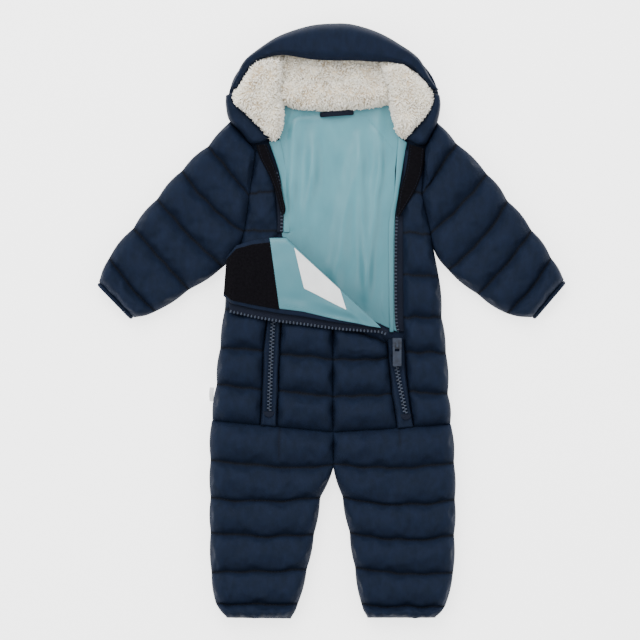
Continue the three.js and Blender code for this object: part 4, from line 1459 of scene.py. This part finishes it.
def cuff_binding(side, rows):
    wrist, cuff = rows[-2:]
    a, b = Vector((cuff.ax, cuff.ay)), Vector((cuff.bx, cuff.by))
    along = (b - a).normalized()
    out = Vector((along.y, -along.x))
    if out.dot(middle(cuff) - middle(wrist)) < 0:
        out.negate()
    radius = (BINDING_HEIGHT - BINDING_WALL) / 2
    straight = (b - a).length - BINDING_HEIGHT
    total = 2 * straight + math.tau * radius

    def place(v, u):
        step = round(v * BINDING_STEPS) % BINDING_STEPS
        angle = math.tau * (round(u * BINDING_SIDES) % BINDING_SIDES) / BINDING_SIDES
        spot, up = round_cuff(step / BINDING_STEPS * total, straight, radius)
        gather = 0.35 * math.sin(step * math.tau / BINDING_GATHER)
        gather += 0.3 * noise.noise(Vector((step / 7, 0, radius)))
        thick = up * math.cos(angle) * (BINDING_WALL / 2 + gather)
        width = math.sin(angle) * BINDING_WIDTH / 2 + BINDING_WIDTH / 2 + GAP
        x, y = a + along * (spot.x + BINDING_HEIGHT / 2 + thick.x) + out * width
        return x, y, BINDING_HEIGHT / 2 + spot.y + thick.y

    bm = grid_bmesh(BINDING_STEPS, BINDING_SIDES)
    shape_grid(bm, place)
    bmesh.ops.remove_doubles(bm, verts=bm.verts, dist=NEAR * MM)
    bmesh.ops.recalc_face_normals(bm, faces=bm.faces)
    piece = new_piece(f"cuff_elastic_{side}", bm, NYLON, [f"cuff_binding_{side}"])


cuff_binding("r", SLEEVE_R)
cuff_binding("l", SLEEVE_L)

# Stitching, each kind with its pitch
QUILT_PITCH = 3.2
SEAM_PITCH = 3.0
LABEL_PITCH = 2.8


def quilt_runs(rows):
    for line in range(1, len(rows) - 1):
        yield [quilt_point(rows, line, mix(0.04, 0.96, step / 20)) for step in range(21)]


def flap_run(start, end, u):
    """A run down the flap, from one place on it to another."""
    return [flap_point(mix(start, end, step / 30), u) for step in range(31)]


def cross_run(at, first, last):
    """A run across the flap."""
    return [flap_point(at, mix(first, last, step / 30)) for step in range(31)]


def sewn(name, thread, runs):
    places = [place for points, tree, pitch in runs for place in laid(points, pitch, tree)]
    scattered(name, STITCH, places, thread)


navy_runs = []
for (_, _, rows, _), panel in zip(FRONT, front):
    tree = tree_of(panel)
    navy_runs += [(run, tree, QUILT_PITCH) for run in quilt_runs(rows)]
navy_runs.append((edge_points(BRIM, "b", 4.2), tree_of(brim), SEAM_PITCH))
for side in SIDES:
    for rows, piece, inset in ((PLACKETS[side], plackets[side], 2.4), (GUARDS[side], guards[side], 2.6)):
        tree = tree_of(piece)
        navy_runs += [(edge_points(rows, end, inset), tree, SEAM_PITCH) for end in "ab"]
sewn("navy_stitches", NAVY_THREAD, navy_runs)

lining_tree = tree_of(lining_piece)
teal_runs = [(run, lining_tree, SEAM_PITCH) for run in (NECK_SEAM, *RAGLAN_SEAMS)]
satin_tree = tree_of(satin)
for run in (flap_run(4.1, 5.0, 0.06), flap_run(4.1, 9.6, 0.88), cross_run(3.62, 0.04, 0.92)):
    teal_runs.append((run, satin_tree, SEAM_PITCH))
sewn("teal_stitches", TEAL_THREAD, teal_runs)

label_tree = tree_of(patch)
label_runs = [flap_run(5.5, 7.6, u) for u in (0.09, 0.56)]
label_runs += [cross_run(at, 0.1, 0.56) for at in (5.5, 7.55)]
sewn("label_stitches", LABEL, [(run, label_tree, LABEL_PITCH) for run in label_runs])

# Floor, camera and light
PHOTO_SPAN = 640 * 1.12  # millimetres across the photo's frame
VIEW_CENTRE = Vector((-12.3, 0.0, 20.0))
VIEW_HEIGHT = 6000.0
SENSOR = 36.0
FLOOR_SIZE = 4.0
FLOOR_DROP = 0.0005
LAMPS = table(
    "name energy x y z",
    ("overhead", 84.0, -0.5, 1.7, 2.3),
    ("left_fill", 36.0, -2.0, -0.2, 1.8),
    ("right_fill", 29.0, 2.0, 0.2, 1.8),
)
LAMP_SIZE = 2.0


def floor():
    bm = bmesh.new()
    bmesh.ops.create_grid(bm, x_segments=1, y_segments=1, size=FLOOR_SIZE)
    mesh = bpy.data.meshes.new("floor")
    bm.to_mesh(mesh)
    bm.free()
    finish = Finish("pale_floor", Roughness=1.0, Emission_Strength=2.2)
    finish.set("Base Color", (0.95, 0.95, 0.95, 1))
    finish.set("Emission Color", (1, 1, 1, 1))
    mesh.materials.append(finish.material)
    piece = bpy.data.objects.new("floor", mesh)
    piece.location.z = -FLOOR_DROP
    bpy.context.scene.collection.objects.link(piece)
    piece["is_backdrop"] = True


def camera():
    view = bpy.data.cameras.new("camera")
    view.sensor_width = SENSOR
    view.lens = SENSOR * (VIEW_HEIGHT - VIEW_CENTRE.z) / PHOTO_SPAN
    view.clip_end = 50
    holder = bpy.data.objects.new("camera", view)
    holder.location = solid_place(VIEW_CENTRE.x, VIEW_CENTRE.y, VIEW_HEIGHT)
    bpy.context.scene.collection.objects.link(holder)
    bpy.context.scene.camera = holder


def lights():
    for row in LAMPS:
        light = bpy.data.lights.new(row.name, "AREA")
        light.energy = row.energy
        light.size = LAMP_SIZE
        lamp = bpy.data.objects.new(row.name, light)
        lamp.location = (row.x, row.y, row.z)
        lamp.rotation_euler = (-lamp.location).to_track_quat("-Z", "Y").to_euler()
        bpy.context.scene.collection.objects.link(lamp)
    world = bpy.data.worlds.new("soft_room")
    world.use_nodes = True
    background = world.node_tree.nodes["Background"]
    background.inputs["Color"].default_value = (1, 1, 1, 1)
    background.inputs["Strength"].default_value = 0.9
    bpy.context.scene.world = world


floor()
camera()
lights()

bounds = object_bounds()
plain = lambda box: [[float(value) for value in corner] for corner in box]
{"cad": plain(CAD_BOX), "visual": plain(bounds)}
